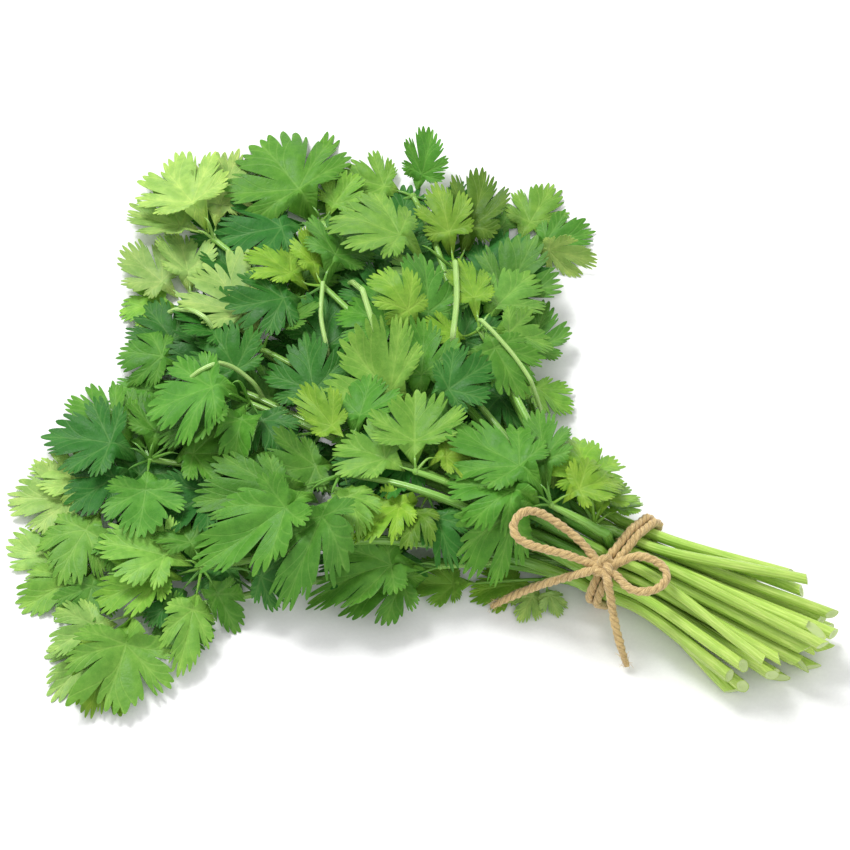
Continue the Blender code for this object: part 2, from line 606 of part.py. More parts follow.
def band_line():
    """The middle line of the twine pulled tight round the stems: a closed ring."""
    spots = np.array([slot for row in slots() for slot in row])
    bearing = np.radians(np.arange(0, 360, 12))
    ways = np.column_stack([np.cos(bearing), np.sin(bearing)])
    clear = STEM_RADIUS_TIE + GAP + TWINE / 2
    corners = spots[(spots @ ways.T).argmax(axis=0)] + ways * clear
    keep = np.concatenate([[True], np.linalg.norm(np.diff(corners, axis=0), axis=1) > 0.1])
    ring = corners[keep]
    plane = unit(STEM_BEARING - 90 + BAND_SLANT)
    stretch = 1 / math.cos(math.radians(BAND_SLANT))
    return np.column_stack([ring[:, :1] * plane * stretch, ring[:, 1]])


def knot_place():
    """The knot's middle, and the way out from the band there."""
    ring = band_line()
    upper = ring[ring[:, 2] > ring[:, 2].mean()]
    side = upper[:, :2] @ ACROSS
    order = np.argsort(side)
    spot = np.array([np.interp(KNOT_SIDE, side[order], upper[order, k]) for k in range(3)])
    inner = np.array([*(ACROSS * KNOT_SIDE * 0.2), ring[:, 2].mean() - 4])
    out = (spot - inner) / np.linalg.norm(spot - inner)
    return spot + out * (TWINE / 2 + GAP + KNOT_SIZE[2]), out


def strand(route, layout):
    """A strand's line: its plan points from the knot, lying on whatever is beneath."""
    middle, _ = knot_place()
    ends = [middle[:2] + unit(p) * KNOT_EDGE if np.isscalar(p) else np.array(p) for p in route]
    plan = evenly(smooth_through(np.array(ends)), 1.5)
    field = layout.everything.widened()
    around = [unit(45 * k) * (TWINE / 2 + 0.2) for k in range(8)] + [np.zeros(2)]
    need = np.max([field[layout.everything.cells(plan + side)] for side in around], axis=0)
    need = need + TWINE / 2 + GAP + STRAND_AIR
    need[0] = middle[2]
    if np.isscalar(route[-1]):
        need[-1] = middle[2]
    near = along(plan) < 3
    need[1:][near[1:]] = -1
    if np.isscalar(route[-1]):
        need[:-1][(along(plan)[-1] - along(plan) < 3)[:-1]] = -1
    return np.column_stack([plan, over(along(plan), need)])


def smooth_through(points, count=8):
    """A smooth line through the points (Catmull-Rom)."""
    padded = np.concatenate([2 * points[:1] - points[1:2], points, 2 * points[-1:] - points[-2:-1]])
    t = np.linspace(0, 1, count, endpoint=False)[:, None]
    line = []
    for a, b, c, d in zip(padded, padded[1:], padded[2:], padded[3:]):
        line.append(0.5 * (2 * b + (c - a) * t + (2 * a - 5 * b + 4 * c - d) * t ** 2
                           + (3 * b - a - 3 * c + d) * t ** 3))
    return np.concatenate(line + [points[-1:]])


# ---- Meshes ----

def clear_scene():
    for item in list(bpy.data.objects):
        bpy.data.objects.remove(item)


def material(name, colour, roughness):
    made = bpy.data.materials.new(name)
    made.use_nodes = True
    shader = made.node_tree.nodes["Principled BSDF"]
    shader.inputs["Base Color"].default_value = (*colour, 1)
    shader.inputs["Roughness"].default_value = roughness
    return made


def add_object(name, mesh, finish):
    made = bpy.data.objects.new(name, mesh)
    bpy.context.scene.collection.objects.link(made)
    mesh.materials.append(finish)
    return made


def mesh_of(name, points, faces):
    made = bpy.data.meshes.new(name)
    places = [tuple(MM * float(x) for x in point) for point in points]
    made.from_pydata(places, [], [tuple(map(int, face)) for face in faces])
    made.validate()
    return made


def tube(line, radius, sides):
    """A closed tube along a line: its points and faces. Its section is carried along without twisting."""
    line = np.asarray(line, float)
    ways = np.gradient(line, axis=0)
    ways /= np.linalg.norm(ways, axis=1)[:, None]
    side = np.cross(ways[0], (0, 0, 1) if abs(ways[0][2]) < 0.9 else (1, 0, 0))
    points, faces = [], []
    for spot, way, thick in zip(line, ways, radius):
        side = side - way * (side @ way)
        side /= np.linalg.norm(side)
        up = np.cross(side, way)
        for k in range(sides):
            angle = np.pi * ((2 * k + 1) / sides - 0.5)
            points.append(spot + thick * (math.cos(angle) * side + math.sin(angle) * up))
    for i in range(len(line) - 1):
        for k in range(sides):
            a, b = i * sides + k, i * sides + (k + 1) % sides
            faces.append((a, a + sides, b + sides, b))
    last = (len(line) - 1) * sides
    faces.append(tuple(range(sides)))
    faces.append(tuple(last + sides - 1 - k for k in range(sides)))
    return points, faces


def plate(points, faces):
    """A sheet given its thickness: half to each side, along its normals."""
    normal = np.zeros_like(points)
    for face in faces:
        a, b, c = points[face]
        normal[face] += np.cross(b - a, c - a)
    normal /= np.linalg.norm(normal, axis=1)[:, None]
    upper, lower = points + normal * BLADE / 2, points - normal * BLADE / 2
    count = len(points)
    edges = {}
    for a, b, c in faces:
        for p, q in ((a, b), (b, c), (c, a)):
            edges[p, q] = (q, p) in edges
            if (q, p) in edges:
                edges[q, p] = True
    solid = [tuple(face) for face in faces] + [tuple(face[::-1] + count) for face in faces]
    solid += [(q, p, p + count, q + count) for (p, q), shared in edges.items() if not shared]
    return np.concatenate([upper, lower]), solid


def union(name, pieces, finish):
    """One closed body out of overlapping closed pieces."""
    objects = [add_object(f"{name}_{k}", mesh_of(f"{name}_{k}", *piece), finish)
               for k, piece in enumerate(pieces)]
    whole = objects[0]
    for other in objects[1:]:
        join = whole.modifiers.new("join", "BOOLEAN")
        join.operation = "UNION"
        join.solver = "EXACT"
        join.object = other
    bpy.context.view_layer.update()
    graph = bpy.context.evaluated_depsgraph_get()
    mesh = bpy.data.meshes.new_from_object(whole.evaluated_get(graph))
    for made in objects:
        bpy.data.objects.remove(made)
    mesh.name = name
    mesh.materials.clear()
    return add_object(name, mesh, finish)


def ball(centre, radius):
    form = bmesh.new()
    bmesh.ops.create_icosphere(form, subdivisions=1, radius=radius)
    points = np.array([v.co for v in form.verts]) + centre
    faces = [tuple(v.index for v in f.verts) for f in form.faces]
    form.free()
    return points, faces


def add_stem(number, stem, finish):
    line = np.column_stack([stem["line"], stem["radius"]])
    kept = simpler(line, STEM_DETAIL)
    mesh = mesh_of(f"stem_{number:02d}", *tube(kept[:, :3], kept[:, 3], STEM_SIDES))
    return add_object(f"stem_{number:02d}", mesh, finish)


def add_leaf(number, leaf, finish):
    pieces = [ball(hub, size) for hub, size in leaf["hubs"]]
    if len(leaf["rib"]["line"]) > 1:
        line = simpler(np.column_stack([leaf["rib"]["line"], leaf["rib"]["radius"]]), RIB_DETAIL)
        pieces.append(tube(line[:, :3], line[:, 3], RIB_SIDES))
    for blade in leaf["blades"]:
        line = blade["stalk"]
        pieces.append(tube(line, np.full(len(line), LEAFLET_STALK), STALK_SIDES))
        pieces.append(plate(*coarse_blade(blade)))
    return union(f"leaf_{number:02d}", pieces, finish)


def add_band(finish):
    """The turns of twine round the stems, as one flat ring."""
    ring = band_line()
    along_stems = np.append(unit(STEM_BEARING + BAND_SLANT), 0)
    half, deep = BAND_WIDTH / 2, TWINE / 2
    section = [(half, BEVEL - deep), (half, deep - BEVEL), (half - BEVEL, deep), (BEVEL - half, deep),
               (-half, deep - BEVEL), (-half, BEVEL - deep), (BEVEL - half, -deep), (half - BEVEL, -deep)]
    ways = np.roll(ring, -1, axis=0) - np.roll(ring, 1, axis=0)
    points, faces = [], []
    for spot, way in zip(ring, ways):
        out = np.cross(way, along_stems)
        out /= np.linalg.norm(out)
        if out @ (spot - ring.mean(axis=0)) < 0:
            out = -out
        points += [spot + along_stems * a + out * b for a, b in section]
    count, sides = len(ring), len(section)
    for i in range(count):
        for k in range(sides):
            a, b = i * sides + k, i * sides + (k + 1) % sides
            c, d = (a + sides) % (count * sides), (b + sides) % (count * sides)
            faces.append((a, b, d, c))
    mesh = mesh_of("twine_band", points, faces)
    outward(mesh)
    return add_object("twine_band", mesh, finish)


def outward(mesh):
    form = bmesh.new()
    form.from_mesh(mesh)
    bmesh.ops.recalc_face_normals(form, faces=form.faces)
    form.to_mesh(mesh)
    form.free()


def add_knot(finish):
    middle, out = knot_place()
    form = bmesh.new()
    bmesh.ops.create_icosphere(form, subdivisions=2, radius=1)
    mesh = bpy.data.meshes.new("twine_knot")
    form.to_mesh(mesh)
    form.free()
    made = add_object("twine_knot", mesh, finish)
    for vertex in mesh.vertices:
        vertex.co = [MM * size * x for size, x in zip(KNOT_SIZE, vertex.co)]
    made.rotation_mode = "QUATERNION"
    made.rotation_quaternion = Vector(out).to_track_quat("Z", "Y")
    made.location = Vector(middle) * MM
    return made


def add_strand(name, line, finish):
    """A free strand of the bow: a curve with a round section and closed ends."""
    curve = bpy.data.curves.new(name, "CURVE")
    curve.dimensions = "3D"
    curve.bevel_depth = TWINE / 2 * MM
    curve.bevel_resolution = 2
    curve.use_fill_caps = True
    kept = evenly(line, STRAND_STEP)
    spline = curve.splines.new("POLY")
    spline.points.add(len(kept) - 1)
    for point, spot in zip(spline.points, kept):
        point.co = (*(spot * MM), 1)
    return add_object(name, curve, finish)


def stand_on_table(objects, free):
    """Moves everything so that the bottom of the box round the bunch, without the bow, is at the origin."""
    bpy.context.view_layer.update()
    corners = np.array([made.matrix_world @ Vector(corner)
                        for made in objects if made not in free for corner in made.bound_box])
    low, high = corners.min(axis=0), corners.max(axis=0)
    shift = Vector(((low[0] + high[0]) / 2, (low[1] + high[1]) / 2, low[2]))
    for made in objects:
        made.location -= shift


def main():
    clear_scene()
    finishes = {name: material(name, *look) for name, look in FINISHES.items()}
    layout = Layout()
    objects = []
    for number, (stem, leaf) in enumerate(zip(layout.stems, layout.leaves), 1):
        objects.append(add_stem(number, stem, finishes["stem"]))
        objects.append(add_leaf(number, leaf, finishes["leaf"]))
    objects.append(add_band(finishes["twine"]))
    objects.append(add_knot(finishes["twine"]))
    strands = []
    for name, route in BOW:
        line = strand(route, layout)
        strands.append(add_strand(name, line, finishes["twine"]))
        layout.rasterise_tube(line, np.full(len(line), TWINE / 2), layout.everything)
    stand_on_table(objects + strands, strands)


main()
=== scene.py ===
"""Looks of the coriander bunch: leaves, stems and twine bow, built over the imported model. Metres, +Z up."""

import math

import bpy
import numpy as np
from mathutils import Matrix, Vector
from mathutils.geometry import delaunay_2d_cdt


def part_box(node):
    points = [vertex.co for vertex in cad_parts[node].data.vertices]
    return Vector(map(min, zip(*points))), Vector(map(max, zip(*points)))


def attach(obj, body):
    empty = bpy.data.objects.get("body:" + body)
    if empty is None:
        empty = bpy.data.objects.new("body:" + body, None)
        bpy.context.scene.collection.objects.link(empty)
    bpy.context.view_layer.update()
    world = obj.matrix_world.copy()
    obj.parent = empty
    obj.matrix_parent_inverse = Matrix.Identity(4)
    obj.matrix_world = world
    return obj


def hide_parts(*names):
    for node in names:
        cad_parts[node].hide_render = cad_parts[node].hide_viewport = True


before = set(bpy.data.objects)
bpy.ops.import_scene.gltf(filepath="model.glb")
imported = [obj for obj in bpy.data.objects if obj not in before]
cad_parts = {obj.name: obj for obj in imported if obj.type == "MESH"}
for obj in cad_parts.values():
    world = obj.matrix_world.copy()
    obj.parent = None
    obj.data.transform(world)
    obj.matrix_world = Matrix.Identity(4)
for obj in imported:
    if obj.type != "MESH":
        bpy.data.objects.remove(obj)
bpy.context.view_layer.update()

# ---- Driving dimensions, in millimetres, from the point on the table under the middle of the tie ----

MM = 0.001
GAP = 0.3                       # air between pieces that touch
STEM_BEARING = 155.0            # degrees: the way the stems run through the tie, cut ends to leaves
STEM_RADIUS_CUT = 2.15          # a stem's radius where it is cut
STEM_RADIUS_TIE = 2.0           # where the tie holds it
STEM_RADIUS_MIDDLE = 1.5        # half way from there to its leaf
STEM_RADIUS_LEAF = 0.95         # where its leaf begins
SLOT_PITCH = 4.5                # between the stems that lie side by side in the tie
ROW_PITCH = 3.9                 # between the layers of stems in the tie
ROWS = (5, 6, 7, 6, 3)          # stems in each layer of the tie, from the table up
STRAIGHT = 12.0                 # a stem at table height would stay straight this far to each side of the tie
STRAIGHT_LESS = 0.33            # and for each millimetre that it lies higher, this much less
TWINE = 3.0                     # the twine's diameter
BAND_WIDTH = 6.0                # two turns of twine side by side
BAND_SLANT = -10.7              # degrees: how far the band's plane is turned from square to the stems
CUT_REACH = 76.0                # from the tie to the longest cut end
CUT_SHORTER = (0.031, 0.13)     # how much sooner those to each side of it end, per square millimetre aside
CUT_ASIDE = 3.5                 # how far the whole fan lies to one side
CUT_FAN = 23.5                  # how far to each side the cut ends fan out, less a third of their height
HUB_RADIUS = 2.0                # the swelling where a leaf's leaflets meet
LEAFLET_STALK = 0.6             # radius of the small stalk that carries a leaflet
BLADE = 0.6                     # thickness of a leaflet's blade
LOBE = 0.64                     # where the side lobes' tips are, as a share of the blade's half spread
SIDES_SHORTER = 0.36            # how much less far a blade reaches at its sides than at its tip
LOBE_GAP = 0.17                 # and how much less between its lobes
CURL_WIDTH = 0.85               # the part of a blade's half width over which it curls
KNOT_SIDE = -9.5                # where the knot sits on the band, measured across the stems
KNOT_SIZE = (4.6, 4.2, 3.2)     # its half sizes; the last one is square to the band
KNOT_EDGE = 5.8                 # from the knot's middle to where each strand of the bow starts
STRAND_AIR = 0.2                # more air round the bow's strands and under leaflets' stalks
STRAND_FREE = 3                 # the stretch of a strand at the knot that heeds no pile
SMOOTH = 8                      # points of a smooth line for each stretch that it is drawn through

# How a blade lies: its slope along and how far it bends, its slope across and how far it curls, in degrees.
POSES = {
    "lying": (5, -14, 0, 10),
    "flat": (0, 0, 0, 0),
    "cupped": (4, 8, 0, 34),
    "domed": (8, -22, 0, -24),
    "arched": (24, -66, 0, -20),
    "hanging": (2, -38, 0, -12),
    "raised": (16, -10, 0, 14),
    "upright": (50, -14, 10, 20),
    "edge": (2, -8, 62, 10),
    "rolled": (6, -22, 0, 110),
    "folded": (4, -14, -26, 56),
}

# Each stalk's leaf, in the order that they are laid down, lowest first: where its end lies, where its lower
# leaflets branch off as a share of the way there, the tones of those lower leaflets, and then the leaflets at
# its end: heading, little stalk, length, half spread, tone, pose, and the little stalk's own bearing if it
# isn't the blade's heading. The tones are pale, light, yellowish, medium, dark and olive.
# The lower leaflets lie beneath the others and are mostly dark: partly their own deeper green, partly painted
# shade.
LEAVES = (
    ((-26, -1), 1, "", (
        (186, 3, 20, 36, "Y", "flat"), (236, 2, 13, 36, "P", "flat"), (284, 2, 11, 36, "P", "flat"),
        (182, 22, 22, 34, "L", "flat"))),
    ((-172, 6), 0.72, "MD", (
        (173, 2, 26, 36, "P", "flat"), (218, 2, 26, 38, "L", "cupped"), (262, 3, 22, 36, "M", "flat"))),
    ((-169, 27), 0.66, "DD", (
        (172, 3, 29, 37, "P", "lying"), (139, 3, 26, 34, "P", "flat"), (236, 4, 30, 40, "L", "domed"),
        (296, 5, 28, 42, "M", "flat"), (48, 5, 30, 44, "D", "flat"))),
    ((-143, 104), 0.7, "DM", (
        (178, 4, 20, 40, "L", "lying"), (142, 5, 25, 34, "P", "cupped"), (98, 4, 26, 36, "P", "cupped"),
        (240, 5, 24, 38, "M", "flat"))),
    ((-35, 127), 0.62, "DM", (
        (115, 3, 18, 36, "M", "flat"), (62, 3, 25, 36, "L", "lying"), (8, 3, 23, 34, "M", "lying"),
        (-12, 5, 21, 26, "P", "edge", -30), (236, 4, 24, 38, "M", "flat"))),
    ((-160, -14), 0.74, "DM", (
        (226, 7, 30, 35, "P", "flat"), (204, 5, 24, 36, "P", "lying"), (243, 5, 34, 26, "Y", "flat"),
        (340, 3, 22, 40, "M", "flat"), (262, 2, 35, 44, "L", "lying"))),
    ((-60, -1), 0.6, "DD", (
        (172, 3, 38, 30, "D", "domed"), (206, 4, 30, 32, "M", "flat"), (191, 3, 42, 22, "M", "folded"))),
    ((-143, 79), 0.68, "DDM", (
        (120, 4, 24, 40, "D", "flat"), (222, 3, 28, 44, "M", "lying"), (168, 2, 22, 44, "M", "domed"))),
    ((-136, 129), 0.78, "DM", (
        (84, 3, 31, 28, "P", "lying"), (163, 3, 26, 38, "P", "cupped"), (124, 2, 34, 38, "P", "lying"))),
    ((-69, 147), 0.7, "DD", (
        (190, 6, 26, 38, "M", "flat"), (340, 5, 25, 38, "D", "flat"), (160, 3, 21, 42, "L", "flat"),
        (66, 2, 22, 30, "M", "upright"))),
    ((-34, 73), 0.6, "DM", (
        (240, 4, 26, 38, "D", "flat"), (100, 3, 28, 38, "M", "lying"), (-38, 2, 17, 44, "L", "lying"),
        (66, 4, 25, 36, "M", "lying"))),
    ((-138, 0), 0.8, "DM", (
        (228, 6, 20, 36, "D", "lying"), (260, 6, 30, 22, "L", "hanging"), (342, 14, 19, 38, "D", "flat"),
        (300, 4, 18, 42, "M", "rolled"), (197, 4, 32, 28, "L", "lying"), (168, 2, 30, 40, "L", "lying"),
        (118, 1, 19, 46, "M", "lying"))),
    ((-156, 43), 0.8, "DD", (
        (108, 3, 22, 44, "M", "lying"), (215, 5, 26, 40, "D", "flat"), (268, 5, 27, 42, "M", "flat"),
        (30, 5, 24, 40, "M", "flat"), (350, 6, 26, 40, "M", "flat"), (138, 4, 32, 31, "M", "lying"),
        (166, 3, 30, 42, "D", "lying"), (72, 1, 21, 46, "M", "lying"))),
    ((-100, 136), 0.8, "D", (
        (196, 4, 28, 40, "D", "lying"), (60, 3, 16, 42, "L", "lying"), (128, 1, 35, 57, "M", "domed"))),
    ((-119, 84), 0.8, "D", (
        (190, 6, 28, 42, "D", "flat"), (152, 5, 28, 36, "D", "lying"), (55, 2, 21, 36, "M", "lying"),
        (118, 2, 37, 40, "P", "lying"))),
    ((-99, 103), 0.82, "DM", (
        (200, 5, 26, 42, "D", "lying"), (145, 5, 25, 38, "Y", "lying"), (112, 3, 21, 23, "Y", "raised"),
        (70, 3, 28, 38, "M", "domed"))),
    ((-55, 114), 0.8, "M", (
        (212, 4, 21, 38, "P", "hanging"), (73, 8, 34, 24, "O", "raised"), (96, 7, 27, 28, "Y", "lying"),
        (160, 8, 37, 34, "L", "arched"))),
    ((-123, 62), 0.8, "DM", (
        (110, 4, 24, 40, "D", "lying"), (292, 4, 21, 42, "D", "lying"), (258, 3, 22, 42, "M", "rolled"),
        (215, 6, 28, 40, "M", "lying"), (186, 2, 32, 48, "M", "domed"))),
    ((-64, 77), 0.8, "D", (
        (90, 4, 28, 38, "M", "lying"), (20, 4, 24, 38, "D", "lying"), (152, 6, 28, 36, "M", "lying"),
        (125, 3, 25, 30, "Y", "raised"))),
    ((-47, 82), 0.8, "M", (
        (185, 3, 15, 38, "Y", "lying"), (62, 4, 27, 38, "L", "domed"), (98, 3, 28, 20, "Y", "lying"),
        (4, 3, 19, 40, "L", "cupped"), (300, 2, 25, 42, "M", "lying"))),
    ((-64, 21), 1, "", (
        (285, 4, 22, 34, "D", "hanging"), (250, 3, 21, 32, "O", "lying"), (145, 5, 28, 38, "D", "lying"),
        (218, 3, 28, 31, "Y", "lying"))),
    ((-68, 49), 0.78, "D", (
        (172, 4, 28, 42, "M", "lying"), (80, 5, 27, 38, "M", "lying"), (30, 4, 24, 40, "D", "lying"),
        (128, 3, 33, 44, "L", "cupped"))),
    ((-90, 38), 1, "", (
        (15, 5, 22, 36, "D", "lying"), (70, 4, 24, 42, "M", "lying"), (200, 3, 25, 42, "M", "lying"),
        (122, 2, 24, 23, "Y", "raised"))),
    ((-92, 28), 1, "", (
        (285, 2, 27, 27, "L", "hanging"), (190, 9, 38, 31, "M", "lying"), (252, 8, 37, 29, "M", "hanging"),
        (218, 9, 43, 25, "M", "lying"))),
    ((-10, 8), 1, "", (
        (142, 6, 30, 34, "D", "lying"), (90, 10, 24, 20, "Y", "raised"), (118, 10, 28, 24, "L", "lying"),
        (38, 5, 14, 40, "Y", "lying"), (62, 2, 18, 46, "Y", "lying"), (98, 3, 26, 40, "Y", "domed"))),
    ((-68, 24), 1, "", (
        (45, 4, 24, 36, "M", "lying"), (5, 5, 20, 38, "Y", "hanging", 50), (150, 3, 26, 40, "L", "lying"),
        (95, 2, 27, 54, "L", "cupped"))),
    ((-24, 11), 1, "", (
        (100, 4, 31, 25, "M", "lying"), (200, 3, 28, 36, "M", "hanging"), (172, 2, 33, 36, "M", "domed"),
        (20, 3, 19, 40, "Y", "lying"), (130, 2, 41, 31, "M", "lying"))),
)

# The outline of the leafy part on the table, which the lower leaflets stay inside.
OUTLINE = ((-199, 31), (-195, 5), (-185, -9), (-192, -30), (-188, -45), (-166, -51), (-149, -36), (-134, -17),
           (-106, -13), (-73, -15), (-20, -11), (-11, 5), (-4, 27), (-14, 50), (-22, 62), (-24, 92),
           (-18, 127), (-30, 144), (-44, 152), (-60, 160), (-90, 146), (-106, 160), (-126, 154), (-153, 148),
           (-163, 104), (-160, 81), (-183, 62))

# The bow's strands, in the order that they are laid down: points in the plan, or a bearing where a strand
# starts or ends at the knot's edge.
BOW = (
    ("twine_tail_left", (197, (-20.5, -10.6), (-28.7, -9.9), (-37.0, -10.2), (-43.2, -11.2))),
    ("twine_loop_left", (128, (-15.0, -1.2), (-21.8, 2.8), (-28.4, 5.2), (-33.7, 4.0), (-36.4, 0.4),
                         (-35.2, -3.4), (-31.0, -5.2), (-26.0, -5.8), (-19.5, -6.4), 160)),
    ("twine_tail_right", (-76, (-4.9, -18.6), (-3.6, -23.2), (-1.7, -28.0), (0.8, -32.6))),
    ("twine_loop_right", (20, (3.8, -6.4), (8.8, -7.6), (12.4, -10.6), (13.2, -14.4), (10.4, -17.8),
                          (5.6, -19.0), (1.0, -17.6), -38)),
)


# ---- The looks, in millimetres ----

BLADE_THICK = 0.26              # a leaflet's real thickness
BLADE_THIN = 0.35               # the share of it that is missing at the rim
BLADE_LOWEST = 0.2              # how low a blade's middle may lie
BLADE_SWEEP = 0.12              # how far a blade's tip strays to one side at most, as a share of its length
BLADE_FOLD = (-0.06, 0.18)      # how steeply its two sides rise from its middle
GRID = 1.35                     # between the points inside a blade's outline
GRID_ROW = 0.87                 # between their rows, as a share of that
GRID_PLAY = 0.12                # how far each point strays
GRID_CLEAR = 0.62               # how near one may be to the outline, as a share of GRID
HUB_LOOK = 1.25                 # radius of the real swelling where the leaflets meet
HUB_TOP = 1.45                  # radians from its waist to its ends
SIZE_UNIT = 100.0               # the unit in which a blade tells its material its length, negative underneath

HEART = 0.30                    # where a blade's veins part, as a share of its length from its foot
WIDTH_AT = 41.0                 # the half spread of a blade that is as wide as it is long
REACH = 0.765                   # from there to the tip, as a share of its length, before the rim is cut
NARROWING = 1.45                # how much the reach falls off from the tip round to the foot
NARROWEST = 0.72                # the share of half a turn at which it stops falling
NARROWING_POWER = 1.9
BACK = 125.0                    # degrees from the tip round to where the blade's edge turns to its foot

# How the rim is cut on each side of the tip: bearing from the tip round the heart and its play, depth as a
# share of the reach and its play, and half width in degrees. The first two cuts part the lobes, the others
# part a lobe's own fingers.
CUTS = (
    (33, 6, 0.54, 0.14, 6.5), (74, 6, 0.42, 0.14, 6.0), (12, 3, 0.16, 0.07, 4.6), (53, 4, 0.15, 0.06, 4.6),
    (92, 4, 0.15, 0.06, 4.6), (109, 3, 0.11, 0.03, 4.2),
)
DEEP_CUT = 0.22                 # a cut deeper than this parts two lobes
CUT_POWER = 1.7                 # how sharply a cut's sides run in to its bottom
TOOTH = 9.0                     # degrees: a stretch of rim wider than this is parted once more by small cuts
TOOTH_PARTS = 1.6               # with a small cut for each stretch this many times as wide
SMALL_BLADE = 20.0              # a blade no longer than this has wider teeth
SMALL_TOOTH = 1.5               # as many times as wide
TOOTH_CUT = (0.085, 0.03, 3.9)  # a small cut's depth, its play, and half width
TOOTH_POINTS = 8                # points of the outline from one cut to the next
TOOTH_ROUND = 0.075             # how far a tooth's corners fall short of its tip
TOOTH_PLAY = (0.95, 1.03)       # how long one tooth is, against the next
TOOTH_LEAN = 0.4                # how far a tooth leans towards its lobe's tip, as a share of half its width
LOBE_DOME = 0.17                # how far a lobe's corners fall short of its tip, as a share of the reach
LOBE_PLAY = 0.07                # how much longer or shorter one lobe is than the next
DOME_POWER = 2.2                # how late a tooth or a lobe falls off to its corners
RIM_END = 0.93                  # the reach at the last point of the rim, as a share of the full one

VEINS = (0.0, 0.29, 0.49, 1.0)  # where the main veins run, as shares of half a turn from the tip
VEIN_APART = 0.17               # about half the share from one of them to the next
BRANCHES = ((0.12, 0.15), (0.35, 0.10), (0.58, 0.055))  # where a vein's branches part, and how widely
HEAVE_LENGTH = 30.0             # the heights below are for a blade this long
PLEAT = 2.3                     # how high it stands between two veins
WAVE, WAVES = 2.0, (1, 2, 3, 5)     # the height of its rim's slow waves, and how often each goes round
FRILL, FRILLS = 0.6, (9, 13, 17)    # and of its quick ones
DROOP = 1.2                     # how far its rim hangs
LOBE_LIFT = 4.2                 # how far a lobe rises or sinks as a whole
LOBE_FROM = 0.45                # the share of the reach from which it does
LOBE_STEP = 5.0                 # degrees to each side of a deep cut, where the lift of the lobes changes

FILLER_SEED = 77
FILLERS = 40                    # at most so many small leaflets low in the pile
FILLER_BARE = 0.5               # the floor is bare where nothing is higher than this
FILLER_REACH = 4                # cells round a bare spot that are counted
FILLER_INSIDE = 10              # cells: how far such a spot is from the bunch's outline at least
FILLER_FROM = 26                # a spot with fewer bare cells round it than this needs no leaflet
FILLER_APART = 9                # cells round a filler that count as covered
FILLER_LENGTH = (19, 27)
FILLER_MIDDLE = 0.55            # the part of a filler that lies on the spot, as a share of its length
FILLER_LIFT = 0.8               # how far a filler's foot is above the floor
FILLER_STALK = 4                # the stalk of a filler whose stem is beside its foot

# Leaf stalks that lie bare on top of the leaves: where each shows from, through and to, in the plan, and its
# radius.
BARE_STALKS = (
    ((-55, 113), (-54.5, 93), (-56, 73), 1.0), ((-90, 106), (-86, 92), (-81, 75), 0.95),
    ((-100, 102), (-99.5, 90), (-97, 77), 0.8), ((-143, 67), (-130, 71), (-118, 66), 0.8),
    ((-151, 100), (-143, 96), (-135, 89), 0.85), ((-45, 78), (-34, 67), (-25, 53), 0.75),
)
BARE_NEAR = 7                   # a bare stalk sets off from a leaf's hub that is as near as this to its start
BARE_SINK = 0.5                 # how deep a bare stalk beds into what is beneath it
BARE_END = (4, 6)               # how deep its far end sinks in, and over what length
BARE_START = (2, 5)             # and its near end where it doesn't set off from a hub

STALK_STEP = 0.9                # between the points of a leaflet's stalk
STALK_SINK = (0.25, 3.5)        # how far its end lies below the blade's middle, and over what length
STALK_MARKS = (0, 3.2, 9)       # how far from its end in the blade its radius is one of the next three
STALK_RADII = (0.08, 0.40, 0.58)
RIB_STEP = 1.2                  # between the points of a leaf's own part of the stalk

STEM_SEED = 500                 # a stem's own random draws start from this and its number
STEM_SIDES = 20
STEM_STEP = 1.1                 # between a stem's points
STEM_THICK = (0.80, 1.0)        # how thick one stem is, as a share of its place in the bunch
FLUTES, FLUTE = 5, 0.045        # how many ridges a stem has, and their height as a share of its radius
SWELL, SWELL_RATE = 0.05, 0.11  # how much a stem swells, and in how many radians to the millimetre
SLANT = (20, 66)                # degrees: how far a stem's cut is turned from square
SLANT_LENGTH = 7.0              # the stretch of a stem that its slanting cut takes up
STEM_SHADE = (0.85, 1.15)       # how light one stem is, against the next
# Painted shade: the stretch of a stem among the leaves is darker than its own green.
STEM_SHADE_DEEPEST_AT = 0.3                 # how far on from the tie to its leaf it is darkest
CUT_RINGS = ((0.82, 0.0), (0.5, 0.12), (0.3, 0.5))  # the cut's rings inwards: size, and depth of the hollow

TWINE_RADIUS = 1.45
PLIES = 3
PLY_SIDES = 8                   # points round each of them
TWIST = 7.5                     # millimetres of twine in which a ply goes once round
GROOVE = 0.30                   # depth of the grooves between the plies, as a share of the radius
PLY_ROUND = 0.75                # how full the plies are between them: 1 is a plain wave
TWINE_ROUGH = 0.05              # how far the twine swells and roughens, as a share of the radius
TAIL_THIN = 0.35                # how much thinner a tail is at its end
TAIL_LENGTH = 9                 # the stretch of a tail that grows thinner
TWINE_STEP = 0.6                # between the points along the twine
BAND_TURNS = (12, 13)           # how often the plies go round in each of the band's turns
BAND_FIBRES = (0.5, 2.2)        # loose fibres to the millimetre of the band and the knot, and the longest
BOW_FIBRES = (0.35, 2.0)        # of the loops and tails
TAIL_FIBRES = (0.7, 3.2, 1.0, 4.0)  # more at a tail's end: its radius there, and its last stretch
FIBRE_RADII = (0.075, 0.035)
FIBRE_LOWEST = 0.2              # a fibre that would reach lower than this is left out

KNOT_SEED, BAND_SEED, BOW_SEED = 8, 7, 900
KNOT_LOOK = 1.03                # scale of the knot's own curve
KNOT_FLAT = 1.15                # how far it goes up and down
KNOT_LAP = 1.02                 # turns that it runs, so that its ends lap over each other
KNOT_TWINE = 1.38               # radius of its twine
KNOT_DEPTH = 0.3                # where the strands end inside it, as a share of the way out from its middle

